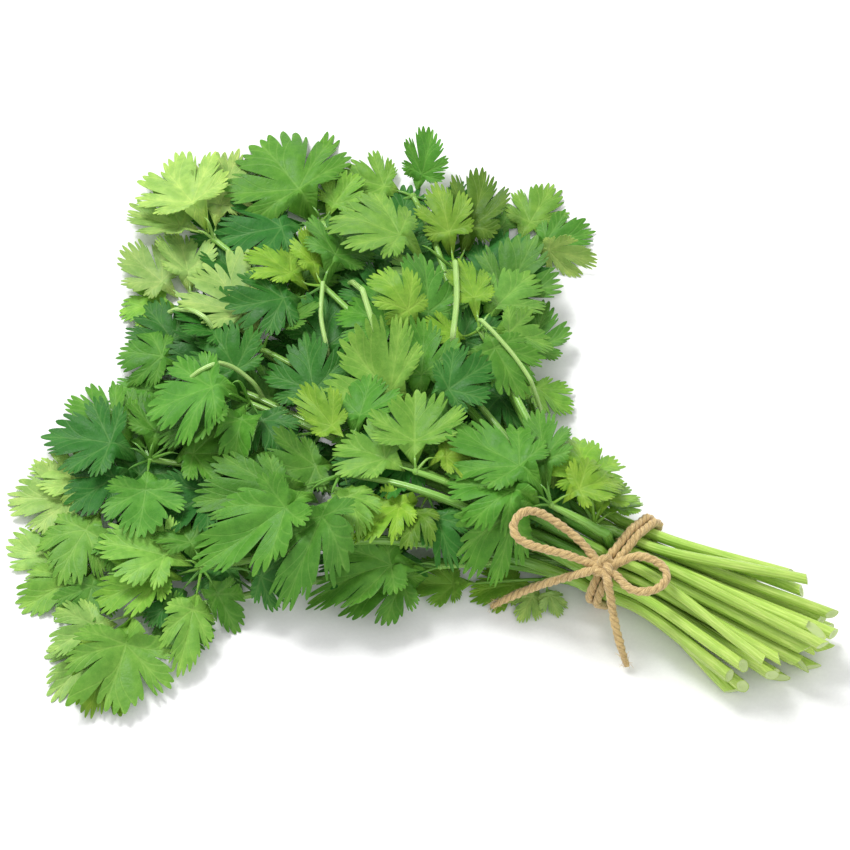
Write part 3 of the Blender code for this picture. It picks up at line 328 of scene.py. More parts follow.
# Base colours, linear: pale, light, yellowish, medium, dark and olive leaflets.
TONES = {
    "P": (0.38, 0.60, 0.16),
    "L": (0.225, 0.475, 0.066),
    "Y": (0.265, 0.49, 0.045),
    "M": (0.115, 0.335, 0.037),
    "D": (0.044, 0.210, 0.028),
    "O": (0.13, 0.26, 0.022),
}
TONE_SHADE = (0.86, 1.14)       # how light one leaflet is against the next, and how its colour varies
TONE_SHIFT = ((0.90, 0.98, 0.85), (1.06, 1.02, 1.15))
STALK_CUT = (0.49, 0.64, 0.145) # a stem at its cut end
STALK_TIE = (0.38, 0.58, 0.10)  # at the tie
# Painted shade: darker than the stem's own green, where the leaves lie over it.
STALK_SHADED_AMONG_LEAVES = (0.12, 0.31, 0.04) # among the leaves
STALK_LEAF = (0.27, 0.50, 0.10) # and at its own leaf
BARE_TONE = (0.42, 0.62, 0.20)
TWINE_TONE = (0.5, 0.5, 0.5)

VIEW_ELEVATION = 60.0           # degrees above the floor
LENS = 300.0                    # for a sensor as wide as the next number
SENSOR = 36.0
VIEW_WIDTH = 280.5              # how wide the picture is where the camera points
VIEW_MIDDLE = (-65.0, 51.4, 13.0)   # what the camera points at
FLOOR_SIZE = 6.0                # metres from the middle of the floor to its edges
WORLD_LIGHT = 0.80
LAMPS = (                       # place and width in metres, and power in watts
    ("key", (-0.55, 0.75, 1.25), 0.55, 20.0),
    ("fill", (0.6, -1.1, 1.3), 1.2, 4.0),
)


def unit(degrees):
    """The level unit vector on a bearing, counted from +X towards +Y."""
    return np.array([math.cos(math.radians(degrees)), math.sin(math.radians(degrees))])


TO_LEAVES = unit(STEM_BEARING)
ACROSS = unit(STEM_BEARING - 90)
AROUND = np.array([np.zeros(2)] + [unit(45 * k) for k in range(8)])     # a middle and eight spots round it


class Pile:
    """How high everything laid down so far reaches, in cells of 1 mm."""

    LOW = np.array([-225.0, -95.0])
    SIZE = (320, 270)
    SOFT = 7                    # cells: how far the pile's shape is blurred for blades that drape over it

    def __init__(self):
        self.top = np.full(self.SIZE, -GAP)

    def cells(self, plan):
        cell = np.floor(plan - self.LOW).astype(int)
        return tuple(np.clip(cell, 0, np.array(self.SIZE) - 1).T)

    def add(self, points):
        np.maximum.at(self.top, self.cells(points[:, :2]), points[:, 2])

    def middles(self):
        return np.indices(self.SIZE) + self.LOW[:, None, None] + 0.5

    def widened(self):
        """Each cell as high as the highest of its neighbours."""
        padded = np.pad(self.top, 1, mode="edge")
        wide, deep = self.SIZE
        return np.max([padded[i:i + wide, j:j + deep] for i in range(3) for j in range(3)], axis=0)

    def blurred(self):
        steps = np.arange(-3 * self.SOFT, 3 * self.SOFT + 1)
        weights = np.exp(-0.5 * (steps / self.SOFT) ** 2)
        weights /= weights.sum()
        soft = np.maximum(self.top, 0)
        for axis in (0, 1):
            soft = np.apply_along_axis(np.convolve, axis, soft, weights, "same")
        return soft

    @classmethod
    def between_cells(cls, field, plan):
        """The field at points in the plan, blended from the four nearest cells."""
        at = plan - cls.LOW - 0.5
        cell = np.clip(np.floor(at).astype(int), 0, np.array(cls.SIZE) - 2)
        part = at - cell
        i, j = cell.T
        p, q = part.T
        return ((1 - p) * (1 - q) * field[i, j] + p * (1 - q) * field[i + 1, j]
                + (1 - p) * q * field[i, j + 1] + p * q * field[i + 1, j + 1])


def inside_outline(x, y, outline):
    """Which points lie inside a closed outline, by how often a line from each of them crosses it."""
    crossed = np.zeros(x.shape, bool)
    for (ax, ay), (bx, by) in zip(outline, np.roll(outline, -1, axis=0)):
        spans = (ay > y) != (by > y)
        crossed ^= spans & (x < ax + (bx - ax) * (y - ay) / ((by - ay) or 1))
    return crossed


def over(line, height):
    """The lowest taut line over the heights at those distances."""
    kept = []
    for point in zip(line, height):
        while len(kept) > 1:
            (a, p), (b, q) = kept[-2:]
            if (q - p) * (point[0] - a) > (point[1] - p) * (b - a):
                break
            kept.pop()
        kept.append(point)
    return np.interp(line, *np.array(kept).T)


def eased(height, width):
    """A running mean that keeps the ends."""
    padded = np.concatenate([np.repeat(height[0], width), height, np.repeat(height[-1], width)])
    return np.convolve(padded, np.ones(2 * width + 1) / (2 * width + 1), "valid")


def along(points):
    """The distance along a line of points."""
    return np.concatenate([[0], np.cumsum(np.linalg.norm(np.diff(points, axis=0), axis=1))])


def evenly(points, step):
    """The line again with points about a step apart."""
    distance = along(points)
    count = max(2, math.ceil(distance[-1] / step) + 1)
    at = np.linspace(0, distance[-1], count)
    return np.stack([np.interp(at, distance, column) for column in points.T], axis=1)


def upright(line):
    """How much taller than its thickness a tube stands at each point of its line, from its slope."""
    way = np.gradient(line, axis=0)
    level = np.maximum(np.linalg.norm(way[:, :2], axis=1), 1e-6)
    return np.minimum(np.linalg.norm(way, axis=1) / level, 1.5)


def bezier(a, b, c, d, count=60):
    t = np.linspace(0, 1, count)[:, None]
    return (1 - t) ** 3 * a + 3 * t * (1 - t) ** 2 * b + 3 * t ** 2 * (1 - t) * c + t ** 3 * d


def simpler(points, within):
    """The line with only the points that it needs to stay within that distance of itself."""
    keep = np.zeros(len(points), bool)
    keep[[0, -1]] = True
    todo = [(0, len(points) - 1)]
    while todo:
        a, b = todo.pop()
        if b - a < 2:
            continue
        chord = points[b] - points[a]
        rest = points[a + 1:b] - points[a]
        share = np.clip(rest @ chord / (chord @ chord), 0, 1)
        away = np.linalg.norm(rest - share[:, None] * chord, axis=1)
        worst = int(away.argmax())
        if away[worst] > within:
            keep[a + 1 + worst] = True
            todo += [(a, a + 1 + worst), (a + 1 + worst, b)]
    return points[keep]


def bent(distance, start, turn, size):
    """Level distance and rise along a strip that sets off at a slope and turns evenly as it goes."""
    start, turn = math.radians(start), math.radians(turn)
    if abs(turn) < 0.01:
        return distance * math.cos(start), distance * math.sin(start)
    slope = start + turn * distance / size
    radius = size / turn
    return radius * (np.sin(slope) - math.sin(start)), radius * (math.cos(start) - np.cos(slope))


def slots():
    """Where the stems lie in the tie: across it, and their height, row by row from the table up."""
    lowest = TWINE + GAP + STEM_RADIUS_TIE
    return [[((column - (count - 1) / 2) * SLOT_PITCH, lowest + row * ROW_PITCH) for column in range(count)]
            for row, count in enumerate(ROWS)]


def turn_of_leaf(number):
    """A leaf's bearing from the tie, in radians, counted backwards so that it rises across the stems."""
    x, y = LEAVES[number][0]
    return -math.atan2(y, x) % math.tau


def places_in_tie():
    """Each leaf's slot. A row's stems lie in the order of their leaves' bearings, so none cross in it."""
    places, first = [None] * len(LEAVES), 0
    for row in slots():
        members = sorted(range(first, first + len(row)), key=turn_of_leaf)
        for member, slot in zip(members, row):
            places[member] = slot
        first += len(row)
    return places


class Layout:
    """Lays the stalks down one after another, each as low as those beneath it allow."""

    CLOSE = 0.5                 # extra height that lets the stems be smoothed
    STEP = 1.5                  # between the points of a finely divided stem
    DENSE = 0.6                 # between its points where it goes into a pile
    SPARE = 0.15                # more air between stems, and over them, for what their meshes simplify
    OWN_END = 8.0               # how much of the stalk's end the leaf keeps when it has no lower leaflets
    DRAPE = 0.85                # how closely a blade follows the pile beneath it
    SEED = 100                  # a stalk's own random draws start from this and its number
    NEAR_NODE = 4               # points to each side of a node that show which way the stalk runs there

    CUT_PLAY = (1.6, 6)         # how far a cut end strays aside and back
    CUT_LONGEST = 3             # how far aside the longest cut ends are
    ARCH_OUT, ARCH_IN = 0.36, 0.34  # how far a stalk keeps its bearing at the tie and at its hub, as shares
    HUB_FAR, HUB_NEAR = 14, 8   # how far round a hub the pile is looked at, for the height its leaflets need
    EASE = 5                    # points to each side over which a stalk's height is smoothed

    LOWER_LENGTH, LOWER_SPREAD, LOWER_STALK = (25, 31), (38, 45), (3, 8)    # a lower leaflet's sizes
    LOWER_TURNS = (-82, -66, -50, 50, 66, 82)   # degrees from the stalk that it may head for
    HIGH = 15                   # a spot higher than this is no worse for it than one at this height
    OUTSIDE = 60                # as much worse is a spot outside the outline

    BLADE_PLAY = (3, 6, 4, 9)   # degrees that a blade's four slopes stray
    LONG_STALK = 8              # a leaflet's stalk longer than this finds its own way over the pile
    FREE_HUB, FREE_BLADE = 3, 2     # its first and last stretches, which heed no pile
    INTO_BLADE = 3.0            # how far it runs on into the blade
    BLADE_STEP = 0.8            # between the points all over a blade that go into a pile
    WITHIN = 0.15               # how far its line may be simplified

    # The poses that may tilt to lie lower, and the tilts tried, along the blade and across it, in degrees.
    LOOSE = ("lying", "flat", "cupped", "domed", "hanging", "rolled", "folded")
    TILTS = [(pitch, roll) for pitch in (-24, -12, 0, 12, 24) for roll in (-20, -10, 0, 10, 20)]

    def __init__(self):
        self.everything = Pile()
        self.foliage = Pile()
        self.inside = inside_outline(*self.everything.middles(), OUTLINE)
        self.stems = []
        self.leaves = []
        self.add_band()
        for number, place in enumerate(places_in_tie()):
            chance = np.random.default_rng(self.SEED + number)
            self.lay_stalk(place, LEAVES[number], chance)

    # -- the tie --

    def add_band(self):
        ring = band_line()
        for offset in np.linspace(-BAND_WIDTH / 2 - 1, BAND_WIDTH / 2 + 1, 9):
            edge = ring + np.append(unit(STEM_BEARING + BAND_SLANT) * offset, 0)
            self.everything.add(evenly(edge + [0, 0, TWINE / 2], 0.7))

    # -- stems --

    def needed(self, plan, radius, steep=None):
        """The lowest height for a round stem's middle at each point of its plan."""
        field = self.foliage.widened()
        steep = np.ones(len(plan)) if steep is None else steep
        height = np.max([field[self.foliage.cells(plan + radius[:, None] * side)] for side in AROUND], axis=0)
        return np.maximum(height + radius * steep + GAP, self.above_stems(plan, radius, steep))

    def above_stems(self, plan, radius, steep):
        """The lowest height that clears every stem laid so far, or less than nothing where none is near."""
        height = np.full(len(plan), -1.0)
        for other in self.stems:
            line, thick = other["line"], other["radius"]
            away = np.linalg.norm(plan[:, None] - line[None, :, :2], axis=2)
            touch = radius[:, None] + thick[None] + GAP + self.SPARE
            rise = np.sqrt(np.maximum(touch ** 2 - away ** 2, 0))
            rise = rise * np.maximum(steep[:, None], upright(line)[None])
            height = np.maximum(height, np.where(away < touch, line[None, :, 2] + rise, -1).max(axis=1))
        return height

    def lay_stalk(self, place, entry, chance):
        """One stalk: its way from the cut end to its tip, split into the stem and the leaf's own rib."""
        end, node, lower, leaflets = entry
        line, radius = self.stalk_line(place, np.array(end, float), chance)
        self.rasterise_tube(line, radius, self.everything)
        distance = along(line)
        from_tie = distance[-1] - distance[np.linalg.norm(line[:, :2], axis=1).argmin()]
        at = int(np.searchsorted(distance, distance[-1] - max((1 - node) * from_tie, self.OWN_END)))
        stem = distance < distance[at] - GAP - (HUB_RADIUS if node < 1 else 0)
        self.stems.append({"line": line[stem], "radius": radius[stem]})
        rib = {"line": line[at:], "radius": radius[at:]}
        self.rasterise_tube(rib["line"], rib["radius"], self.foliage)
        way = line[min(at + self.NEAR_NODE, len(line) - 1)] - line[at - self.NEAR_NODE]
        turned = math.degrees(math.atan2(way[1], way[0]))
        blades = []
        for tone in lower:
            leaflet = self.leaflet_into_gap(line[at], turned, tone, chance)
            blades += self.lay_leaflets(line[at], [leaflet], chance)
        blades += self.lay_leaflets(line[-1], leaflets, chance)
        hubs = [(line[-1], HUB_RADIUS)]
        if node < 1:
            hubs.append((line[at], radius[at] + self.SPARE))
        for hub, size in hubs:
            self.rasterise_hub(hub, size)
        self.leaves.append({"hubs": hubs, "rib": rib, "blades": blades})

    def leaflet_into_gap(self, hub, bearing, tone, chance):
        """A lower leaflet that heads for the barest spot in reach of its stalk, inside the outline."""
        length, spread, stalk = (chance.uniform(*span) for span in
                                 (self.LOWER_LENGTH, self.LOWER_SPREAD, self.LOWER_STALK))
        share = np.linspace(0.3, 1, 4)
        bare = np.minimum(self.everything.top, self.HIGH) + self.OUTSIDE * ~self.inside
        tries = []
        for turn in self.LOWER_TURNS:
            fan = [hub[:2] + unit(bearing + turn + side) * (stalk + length * reach)
                   for reach in share for side in (-24, 0, 24)]
            tries.append((bare[self.everything.cells(np.array(fan))].mean(), turn))
        return bearing + min(tries)[1], stalk, length, spread, tone, "flat"

    def stalk_line(self, place, hub, chance):
        side, height = place
        in_tie = ACROSS * side
        straight = STRAIGHT - height * STRAIGHT_LESS
        out, back = in_tie + TO_LEAVES * straight, in_tie - TO_LEAVES * straight
        widest = max(abs(other) for other, level in sum(slots(), []) if level == height)
        aside, less = self.CUT_PLAY
        fan = side * (CUT_FAN - height / 3) / widest - CUT_ASIDE + chance.uniform(-aside, aside)
        shorter = CUT_SHORTER[fan > self.CUT_LONGEST] * (fan - self.CUT_LONGEST) ** 2
        reach = CUT_REACH - shorter + chance.uniform(-less, 0)
        cut_end = ACROSS * fan - TO_LEAVES * reach
        route = bezier(back, back - TO_LEAVES * 0.2 * reach, 0.4 * back + 0.6 * cut_end, cut_end)
        cut = evenly(route, self.STEP)[1:]
        radius = np.linspace(STEM_RADIUS_TIE, STEM_RADIUS_CUT, len(cut))
        distance = along(cut) + self.STEP
        slope = ((self.needed(cut, radius) - height) / distance)[2:].max()
        slope = max(slope, (STEM_RADIUS_CUT - height) / distance[-1])
        cut_line = np.column_stack([cut, height + slope * distance])

        far = np.linalg.norm(hub - out)
        radial = hub / np.linalg.norm(hub)
        route = bezier(out, out + TO_LEAVES * self.ARCH_OUT * far, hub - radial * self.ARCH_IN * far, hub)
        plan = evenly(route, self.STEP)[1:]
        radii = [STEM_RADIUS_TIE, STEM_RADIUS_MIDDLE, STEM_RADIUS_LEAF]
        radius_out = np.interp(along(plan) / max(far, 1), [0, 0.5, 1], radii)
        round_hub = [hub + unit(22.5 * k) * (self.HUB_NEAR if k % 2 else self.HUB_FAR) for k in range(16)]
        beside = self.everything.blurred()[self.everything.cells(np.array(round_hub))]
        below = self.everything.widened()[self.everything.cells(hub + AROUND * HUB_RADIUS)].max() + GAP
        distance = np.append(0, along(plan) + self.STEP)
        steep = None
        for _ in range(2):
            need = self.needed(plan, radius_out, steep)
            end = max(below, need[-1] - radius_out[-1], np.percentile(beside, 50)) + HUB_RADIUS
            goal = np.concatenate([[height], need + self.CLOSE])
            goal[-1] = end
            taut = over(distance, goal)
            smooth = eased(taut, self.EASE)
            smooth[0], smooth[-1] = taut[0], taut[-1]
            rise = np.maximum(smooth, np.concatenate([[height], need + 0.1]))
            rise[-1] = end
            steep = upright(np.column_stack([plan, rise[1:]]))
        leaf_line = np.column_stack([plan, rise[1:]])
        tie_line = np.array([[*back, height], [*in_tie, height], [*out, height]])
        whole = np.concatenate([cut_line[::-1], tie_line, leaf_line])
        return whole, np.concatenate([radius[::-1], [STEM_RADIUS_TIE] * 3, radius_out])

    def rasterise_tube(self, line, radius, *piles):
        dense = evenly(np.column_stack([line, radius]), self.DENSE)
        across = np.diff(dense[:, :2], axis=0)
        across = np.column_stack([-across[:, 1], across[:, 0]])
        across /= np.maximum(np.linalg.norm(across, axis=1), 1e-6)[:, None]
        across = np.concatenate([across, across[-1:]])
        for share in np.linspace(-1, 1, 9):
            width = dense[:, 3] * share
            top = dense[:, 2] + np.sqrt(np.maximum(dense[:, 3] ** 2 - width ** 2, 0)) + self.SPARE
            for pile in piles:
                pile.add(np.column_stack([dense[:, :2] + across * width[:, None], top]))

    # -- leaves --

    def lay_leaflets(self, hub, leaflets, chance):
        laid = []
        for entry in leaflets:
            heading, stalk, length, spread, tone, pose = entry[:6]
            sets_off = entry[6] if len(entry) > 6 else heading
            blade = {
                "heading": heading + chance.uniform(-3, 3), "length": length * chance.uniform(0.97, 1.05),
                "spread": spread, "tone": tone, "pose": pose, "seed": int(chance.integers(1 << 30)),
                "base": hub[:2] + unit(sets_off) * (stalk + HUB_RADIUS * 0.5),
            }
            slopes = np.array(POSES[pose], float)
            if pose != "flat":
                slopes += chance.uniform(-np.array(self.BLADE_PLAY), self.BLADE_PLAY)
            blade["ground"] = self.everything.blurred() * self.DRAPE
            blade["slopes"], blade["lift"], samples = self.settled(blade, slopes, pose)
            for pile in (self.everything, self.foliage):
                pile.add(samples)
            base = surface(blade, np.array([0.0]), np.array([0.0]))[0]
            inside = surface(blade, np.array([self.INTO_BLADE]), np.array([0.0]))[0]
            blade["stalk"] = self.little_stalk(hub, base, inside, sets_off)
            self.rasterise_tube(blade["stalk"], np.full(len(blade["stalk"]), LEAFLET_STALK),
                                self.everything, self.foliage)
            laid.append(blade)
        return laid

    def settled(self, blade, slopes, pose):
        """The slopes and the height at which a blade comes to rest on the pile, and points all over it."""
        field = self.everything.widened()
        best = None
        for pitch, roll in self.TILTS if pose in self.LOOSE else [(0, 0)]:
            blade["lift"], blade["slopes"] = 0.0, slopes + (pitch, 0, roll, 0)
            samples = on_triangles(*coarse_blade(blade), self.BLADE_STEP)
            thick = BLADE / 2 * samples[:, 3]
            under = field[self.everything.cells(samples[:, :2])]
            lift = float((under + GAP + thick - samples[:, 2]).max())
            height = 0.6 * samples[:, 2].mean() + 0.4 * samples[:, 2].max() + lift
            if best is None or height < best[0]:
                top = samples[:, :3] + np.outer(thick + lift, (0, 0, 1))
                best = height, blade["slopes"], lift, top
        return best[1:]

    def rasterise_hub(self, hub, size):
        ball = np.array([[*(hub[:2] + unit(45 * k) * size * r), hub[2] + size * math.sqrt(1 - r * r)]
                         for k in range(8) for r in (0, 0.5, 1)])
        for pile in (self.everything, self.foliage):
            pile.add(ball)

    def little_stalk(self, hub, base, inside, sets_off):
        """From the hub to the blade's foot, over whatever lies between."""
        level = np.linalg.norm(base[:2] - hub[:2])
        if level < self.LONG_STALK:
            return np.array([hub, base, inside])
        middle = hub[:2] + unit(sets_off) * level * 0.5
        plan = evenly(bezier(hub[:2], middle, middle, base[:2], 12), 1.5)
        field = self.foliage.widened()
        need = field[self.foliage.cells(plan)] + LEAFLET_STALK + GAP + STRAND_AIR
        thick = np.full(len(plan), LEAFLET_STALK)
        need = np.maximum(need, self.above_stems(plan, thick, np.ones(len(plan))))
        need[0], need[-1] = hub[2], base[2]
        clear = along(plan)
        count = np.arange(len(plan))
        need[(clear < self.FREE_HUB) & (count > 0)] = -1
        need[(clear > clear[-1] - self.FREE_BLADE) & (count < len(plan) - 1)] = -1
        path = np.column_stack([plan, over(clear, need)])
        return np.concatenate([simpler(path, self.WITHIN), [inside]])


def envelope(t):
    """How far a blade reaches at each share of its half spread: three lobes, shorter to the sides."""
    lobes = np.abs(np.cos(np.pi * t / LOBE))
    return (1 - SIDES_SHORTER * np.abs(t) ** 2.2) * (1 - LOBE_GAP * (1 - lobes))


def surface(blade, forward, sideways):
    """Points of a blade's middle surface, from distances along and across the flat blade."""
    pitch, bend, roll, curl = blade["slopes"]
    length = blade["length"]
    width = length * math.sin(math.radians(blade["spread"])) * CURL_WIDTH
    out, rise = bent(forward, pitch, bend, length)
    side, lift = bent(sideways, roll, curl, width)
    ahead = unit(blade["heading"])
    left = unit(blade["heading"] + 90)
    plan = blade["base"] + out[:, None] * ahead + side[:, None] * left
    ground = Pile.between_cells(blade["ground"], np.vstack([plan, blade["base"]]))
    return np.column_stack([plan, blade["lift"] + rise + lift + ground[:-1] - ground[-1]])


def coarse_blade(blade):
    """The blade as a coarse fan of three lobes: points, and triangles facing up."""
    inner, outer = np.array([-1, 0, 1]), np.array([-1, -LOBE, -LOBE / 2, 0, LOBE / 2, LOBE, 1])
    share = np.concatenate([inner, outer])
    reach = envelope(share) * blade["length"] * np.repeat([0.55, 1.0], [len(inner), len(outer)])
    angle = np.radians(blade["spread"]) * share
    forward = np.append(0, reach * np.cos(angle))
    sideways = np.append(0, reach * np.sin(angle))
    base, right, middle, left = range(4)
    rim = range(4, 11)
    faces = [(base, right, middle), (base, middle, left), (right, rim[2], middle), (middle, rim[4], left)]
    for corner, edges in ((right, (0, 1)), (middle, (2, 3)), (left, (4, 5))):
        faces += [(corner, rim[edge], rim[edge + 1]) for edge in edges]
    return surface(blade, forward, sideways), np.array(faces)


def on_triangles(points, faces, step):
    """Points spread over the triangles, each with how much its triangle's tilt stretches the thickness."""
    found = []
    for face in points[faces]:
        a, b, c = face
        across = np.cross(b - a, c - a)
        tilt = min(np.linalg.norm(across) / max(abs(across[2]), 1e-6), 4.0)
        count = max(2, math.ceil(max(np.linalg.norm(b - a), np.linalg.norm(c - a)) / step))
        i, j = np.meshgrid(np.arange(count + 1), np.arange(count + 1))
        keep = i + j <= count
        p, q = i[keep] / count, j[keep] / count
        spot = a + p[:, None] * (b - a) + q[:, None] * (c - a)
        found.append(np.column_stack([spot, np.full(len(spot), tilt)]))
    return np.concatenate(found)


def band_line():
    """The middle line of the twine pulled tight round the stems: a closed ring."""
    spots = np.array([slot for row in slots() for slot in row])
    bearing = np.radians(np.arange(0, 360, 12))
    ways = np.column_stack([np.cos(bearing), np.sin(bearing)])
    clear = STEM_RADIUS_TIE + GAP + TWINE / 2
    corners = spots[(spots @ ways.T).argmax(axis=0)] + ways * clear
    keep = np.concatenate([[True], np.linalg.norm(np.diff(corners, axis=0), axis=1) > 0.1])
    ring = corners[keep]
    plane = unit(STEM_BEARING - 90 + BAND_SLANT)
    stretch = 1 / math.cos(math.radians(BAND_SLANT))
    return np.column_stack([ring[:, :1] * plane * stretch, ring[:, 1]])


def knot_place():
    """The knot's middle, and the way out from the band there."""
    ring = band_line()
    upper = ring[ring[:, 2] > ring[:, 2].mean()]
    side = upper[:, :2] @ ACROSS
    order = np.argsort(side)
    spot = np.array([np.interp(KNOT_SIDE, side[order], upper[order, k]) for k in range(3)])
    inner = np.array([*(ACROSS * KNOT_SIDE * 0.2), ring[:, 2].mean() - 4])
    out = (spot - inner) / np.linalg.norm(spot - inner)
    return spot + out * (TWINE / 2 + GAP + KNOT_SIZE[2]), out


def strand(route, layout):
    """A strand's line: its plan points from the knot, lying on whatever is beneath."""
    middle, _ = knot_place()
    ends = [middle[:2] + unit(p) * KNOT_EDGE if np.isscalar(p) else np.array(p) for p in route]
    plan = evenly(smooth_through(np.array(ends)), 1.5)
    field = layout.everything.widened()
    around = AROUND * (TWINE / 2 + STRAND_AIR)
    need = np.max([field[layout.everything.cells(plan + side)] for side in around], axis=0)
    need = need + TWINE / 2 + GAP + STRAND_AIR
    distance = along(plan)
    need[1:][distance[1:] < STRAND_FREE] = -1
    if np.isscalar(route[-1]):
        need[:-1][(distance[-1] - distance < STRAND_FREE)[:-1]] = -1
        need[-1] = middle[2]
    need[0] = middle[2]
    return np.column_stack([plan, over(distance, need)])


def smooth_through(points):
    """A smooth line through the points (Catmull-Rom)."""
    padded = np.concatenate([2 * points[:1] - points[1:2], points, 2 * points[-1:] - points[-2:-1]])
    t = np.linspace(0, 1, SMOOTH, endpoint=False)[:, None]
    line = []
    for a, b, c, d in zip(padded, padded[1:], padded[2:], padded[3:]):
        line.append(0.5 * (2 * b + (c - a) * t + (2 * a - 5 * b + 4 * c - d) * t ** 2
                           + (3 * b - a - 3 * c + d) * t ** 3))
    return np.concatenate(line + [points[-1:]])


# ---- Meshes ----

def to_scene(points):
    """From millimetres round the tie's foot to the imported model's frame."""
    low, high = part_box("twine_band")
    foot = np.array([(low.x + high.x) / 2, (low.y + high.y) / 2, low.z])
    return foot + MM * np.asarray(points, float)


def smooth_step(low, high, x):
    share = np.clip((x - low) / (high - low), 0, 1)
    return share * share * (3 - 2 * share)


def angles(sides):
    return np.arange(sides) * math.tau / sides


def frames(line, side=None):
    """Unit vectors along a line and to two sides of it, carried along without twisting."""
    ways = np.gradient(line, axis=0)
    ways /= np.linalg.norm(ways, axis=1)[:, None]
    if side is None:
        side = np.cross(ways[0], (0, 0, 1) if abs(ways[0][2]) < 0.9 else (1, 0, 0))
    sides = []
    for way in ways:
        side = side - way * (side @ way)
        side = side / np.linalg.norm(side)
        sides.append(side)
    sides = np.array(sides)
    return ways, sides, np.cross(sides, ways)


def around(line, right, up, reach):
    """A ring of points round each point of a line, at that reach."""
    angle = angles(reach.shape[1])
    ring = right[:, None] * np.cos(angle)[None, :, None] + up[:, None] * np.sin(angle)[None, :, None]
    return line[:, None] + ring * reach[:, :, None]


def round_places(line, sides):
    """For each point of a tube the share of a turn round it and the distance along it."""
    turn, distance = np.tile(angles(sides) / math.tau, len(line)), np.repeat(along(line), sides)
    return np.column_stack([turn, distance, np.zeros(len(turn))])


def between(a, b, sides):
    """Faces between two rings of points, from the number of each ring's first point."""
    return [(a + k, a + (k + 1) % sides, b + (k + 1) % sides, b + k) for k in range(sides)]


def wall(rows, sides, closed=False):
    """The faces of a tube without its ends, or of one whose ends meet."""
    last = rows if closed else rows - 1
    return [face for i in range(last) for face in between(i * sides, (i + 1) % rows * sides, sides)]


def cap(centre, ring, sides, back=False):
    """The faces between a tube's end ring and the point in its middle, facing ahead or back along it."""
    edges = [(ring + k, ring + (k + 1) % sides) for k in range(sides)]
    return [(centre, b, a) if back else (centre, a, b) for a, b in edges]


def caps(centre, rows, sides):
    """Both ends of a tube, round two points of which the first has that number."""
    return cap(centre, 0, sides, back=True) + cap(centre + 1, (rows - 1) * sides, sides)


def smooth_line(line, step):
    """The line made smooth and divided evenly."""
    return evenly(smooth_through(np.asarray(line, float)), step)


class Shape:
    """Points, faces and what each point tells its material, gathered into one mesh."""

    def __init__(self):
        self.points, self.faces, self.tones, self.places, self.slots = [], [], [], [], []
        self.count = 0

    def add(self, points, faces, tone, place, slot=0):
        self.points.append(points)
        self.faces += [tuple(int(i) + self.count for i in face) for face in faces]
        self.tones.append(np.broadcast_to(tone, (len(points), 3)))
        self.places.append(np.broadcast_to(place, (len(points), 3)))
        self.slots += [slot] * len(faces)
        self.count += len(points)

    def add_tube(self, line, radius, sides, tip, tone, place=None, slot=1):
        """A closed tube whose two ends stand out by a tip."""
        ways, right, up = frames(line)
        points = around(line, right, up, np.repeat(radius[:, None], sides, axis=1)).reshape(-1, 3)
        ends = np.array([line[0] - ways[0] * tip, line[-1] + ways[-1] * tip])
        if place is None:
            place = np.vstack([round_places(line, sides), [0, 0, 0], [0, along(line)[-1], 0]])
        faces = wall(len(line), sides) + caps(len(points), len(line), sides)
        self.add(np.vstack([points, ends]), faces, tone, place, slot)

    def made(self, name, finishes, slot, replaced, crease=50):
        mesh = bpy.data.meshes.new(name)
        mesh.from_pydata(to_scene(np.concatenate(self.points)).tolist(), [], self.faces)
        tones = np.column_stack([np.concatenate(self.tones), np.ones(self.count)])
        tone = mesh.attributes.new("tone", "FLOAT_COLOR", "POINT")
        tone.data.foreach_set("color", tones.ravel())
        place = mesh.attributes.new("place", "FLOAT_VECTOR", "POINT")
        place.data.foreach_set("vector", np.concatenate(self.places).ravel())
        mesh.polygons.foreach_set("material_index", self.slots)
        for finish in finishes:
            mesh.materials.append(finish)
        mesh.shade_smooth()
        mesh.set_sharp_from_angle(angle=math.radians(crease))
        piece = linked(name, mesh)
        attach(piece, "root")
        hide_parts(replaced)
        return piece


def linked(name, data):
    """A new object in the scene."""
    made = bpy.data.objects.new(name, data)
    bpy.context.scene.collection.objects.link(made)
    return made


# ---- Blades ----

def cuts_in_rim(blade, chance):
    """The cuts, and among them the deep ones that part the lobes: bearing, depth and half width."""
    cuts = sorted((side * (at + chance.uniform(-play, play)), depth + chance.uniform(-change, change), wide)
                  for at, play, depth, change, wide in CUTS for side in (-1, 1))
    marks = [-BACK] + [cut[0] for cut in cuts] + [BACK]
    widest = TOOTH * (1 if blade["length"] > SMALL_BLADE else SMALL_TOOTH)
    depth, change, wide = TOOTH_CUT
    teeth = []
    for a, b in zip(marks, marks[1:]):
        parts = math.ceil((b - a) / (TOOTH_PARTS * widest)) if b - a > widest else 0
        for k in range(1, parts + 1):
            at = a + (b - a) * k / (parts + 1) + chance.uniform(-1, 1)
            teeth.append((at, depth + chance.uniform(-change, change), wide))
    return sorted(cuts + teeth), [cut for cut in cuts if cut[1] > DEEP_CUT]


def full_reach(turn):
    """The blade's reach from its heart, before the rim is cut, at a share of half a turn from the tip."""
    return REACH * (1 - NARROWING * np.minimum(turn, NARROWEST) ** NARROWING_POWER)


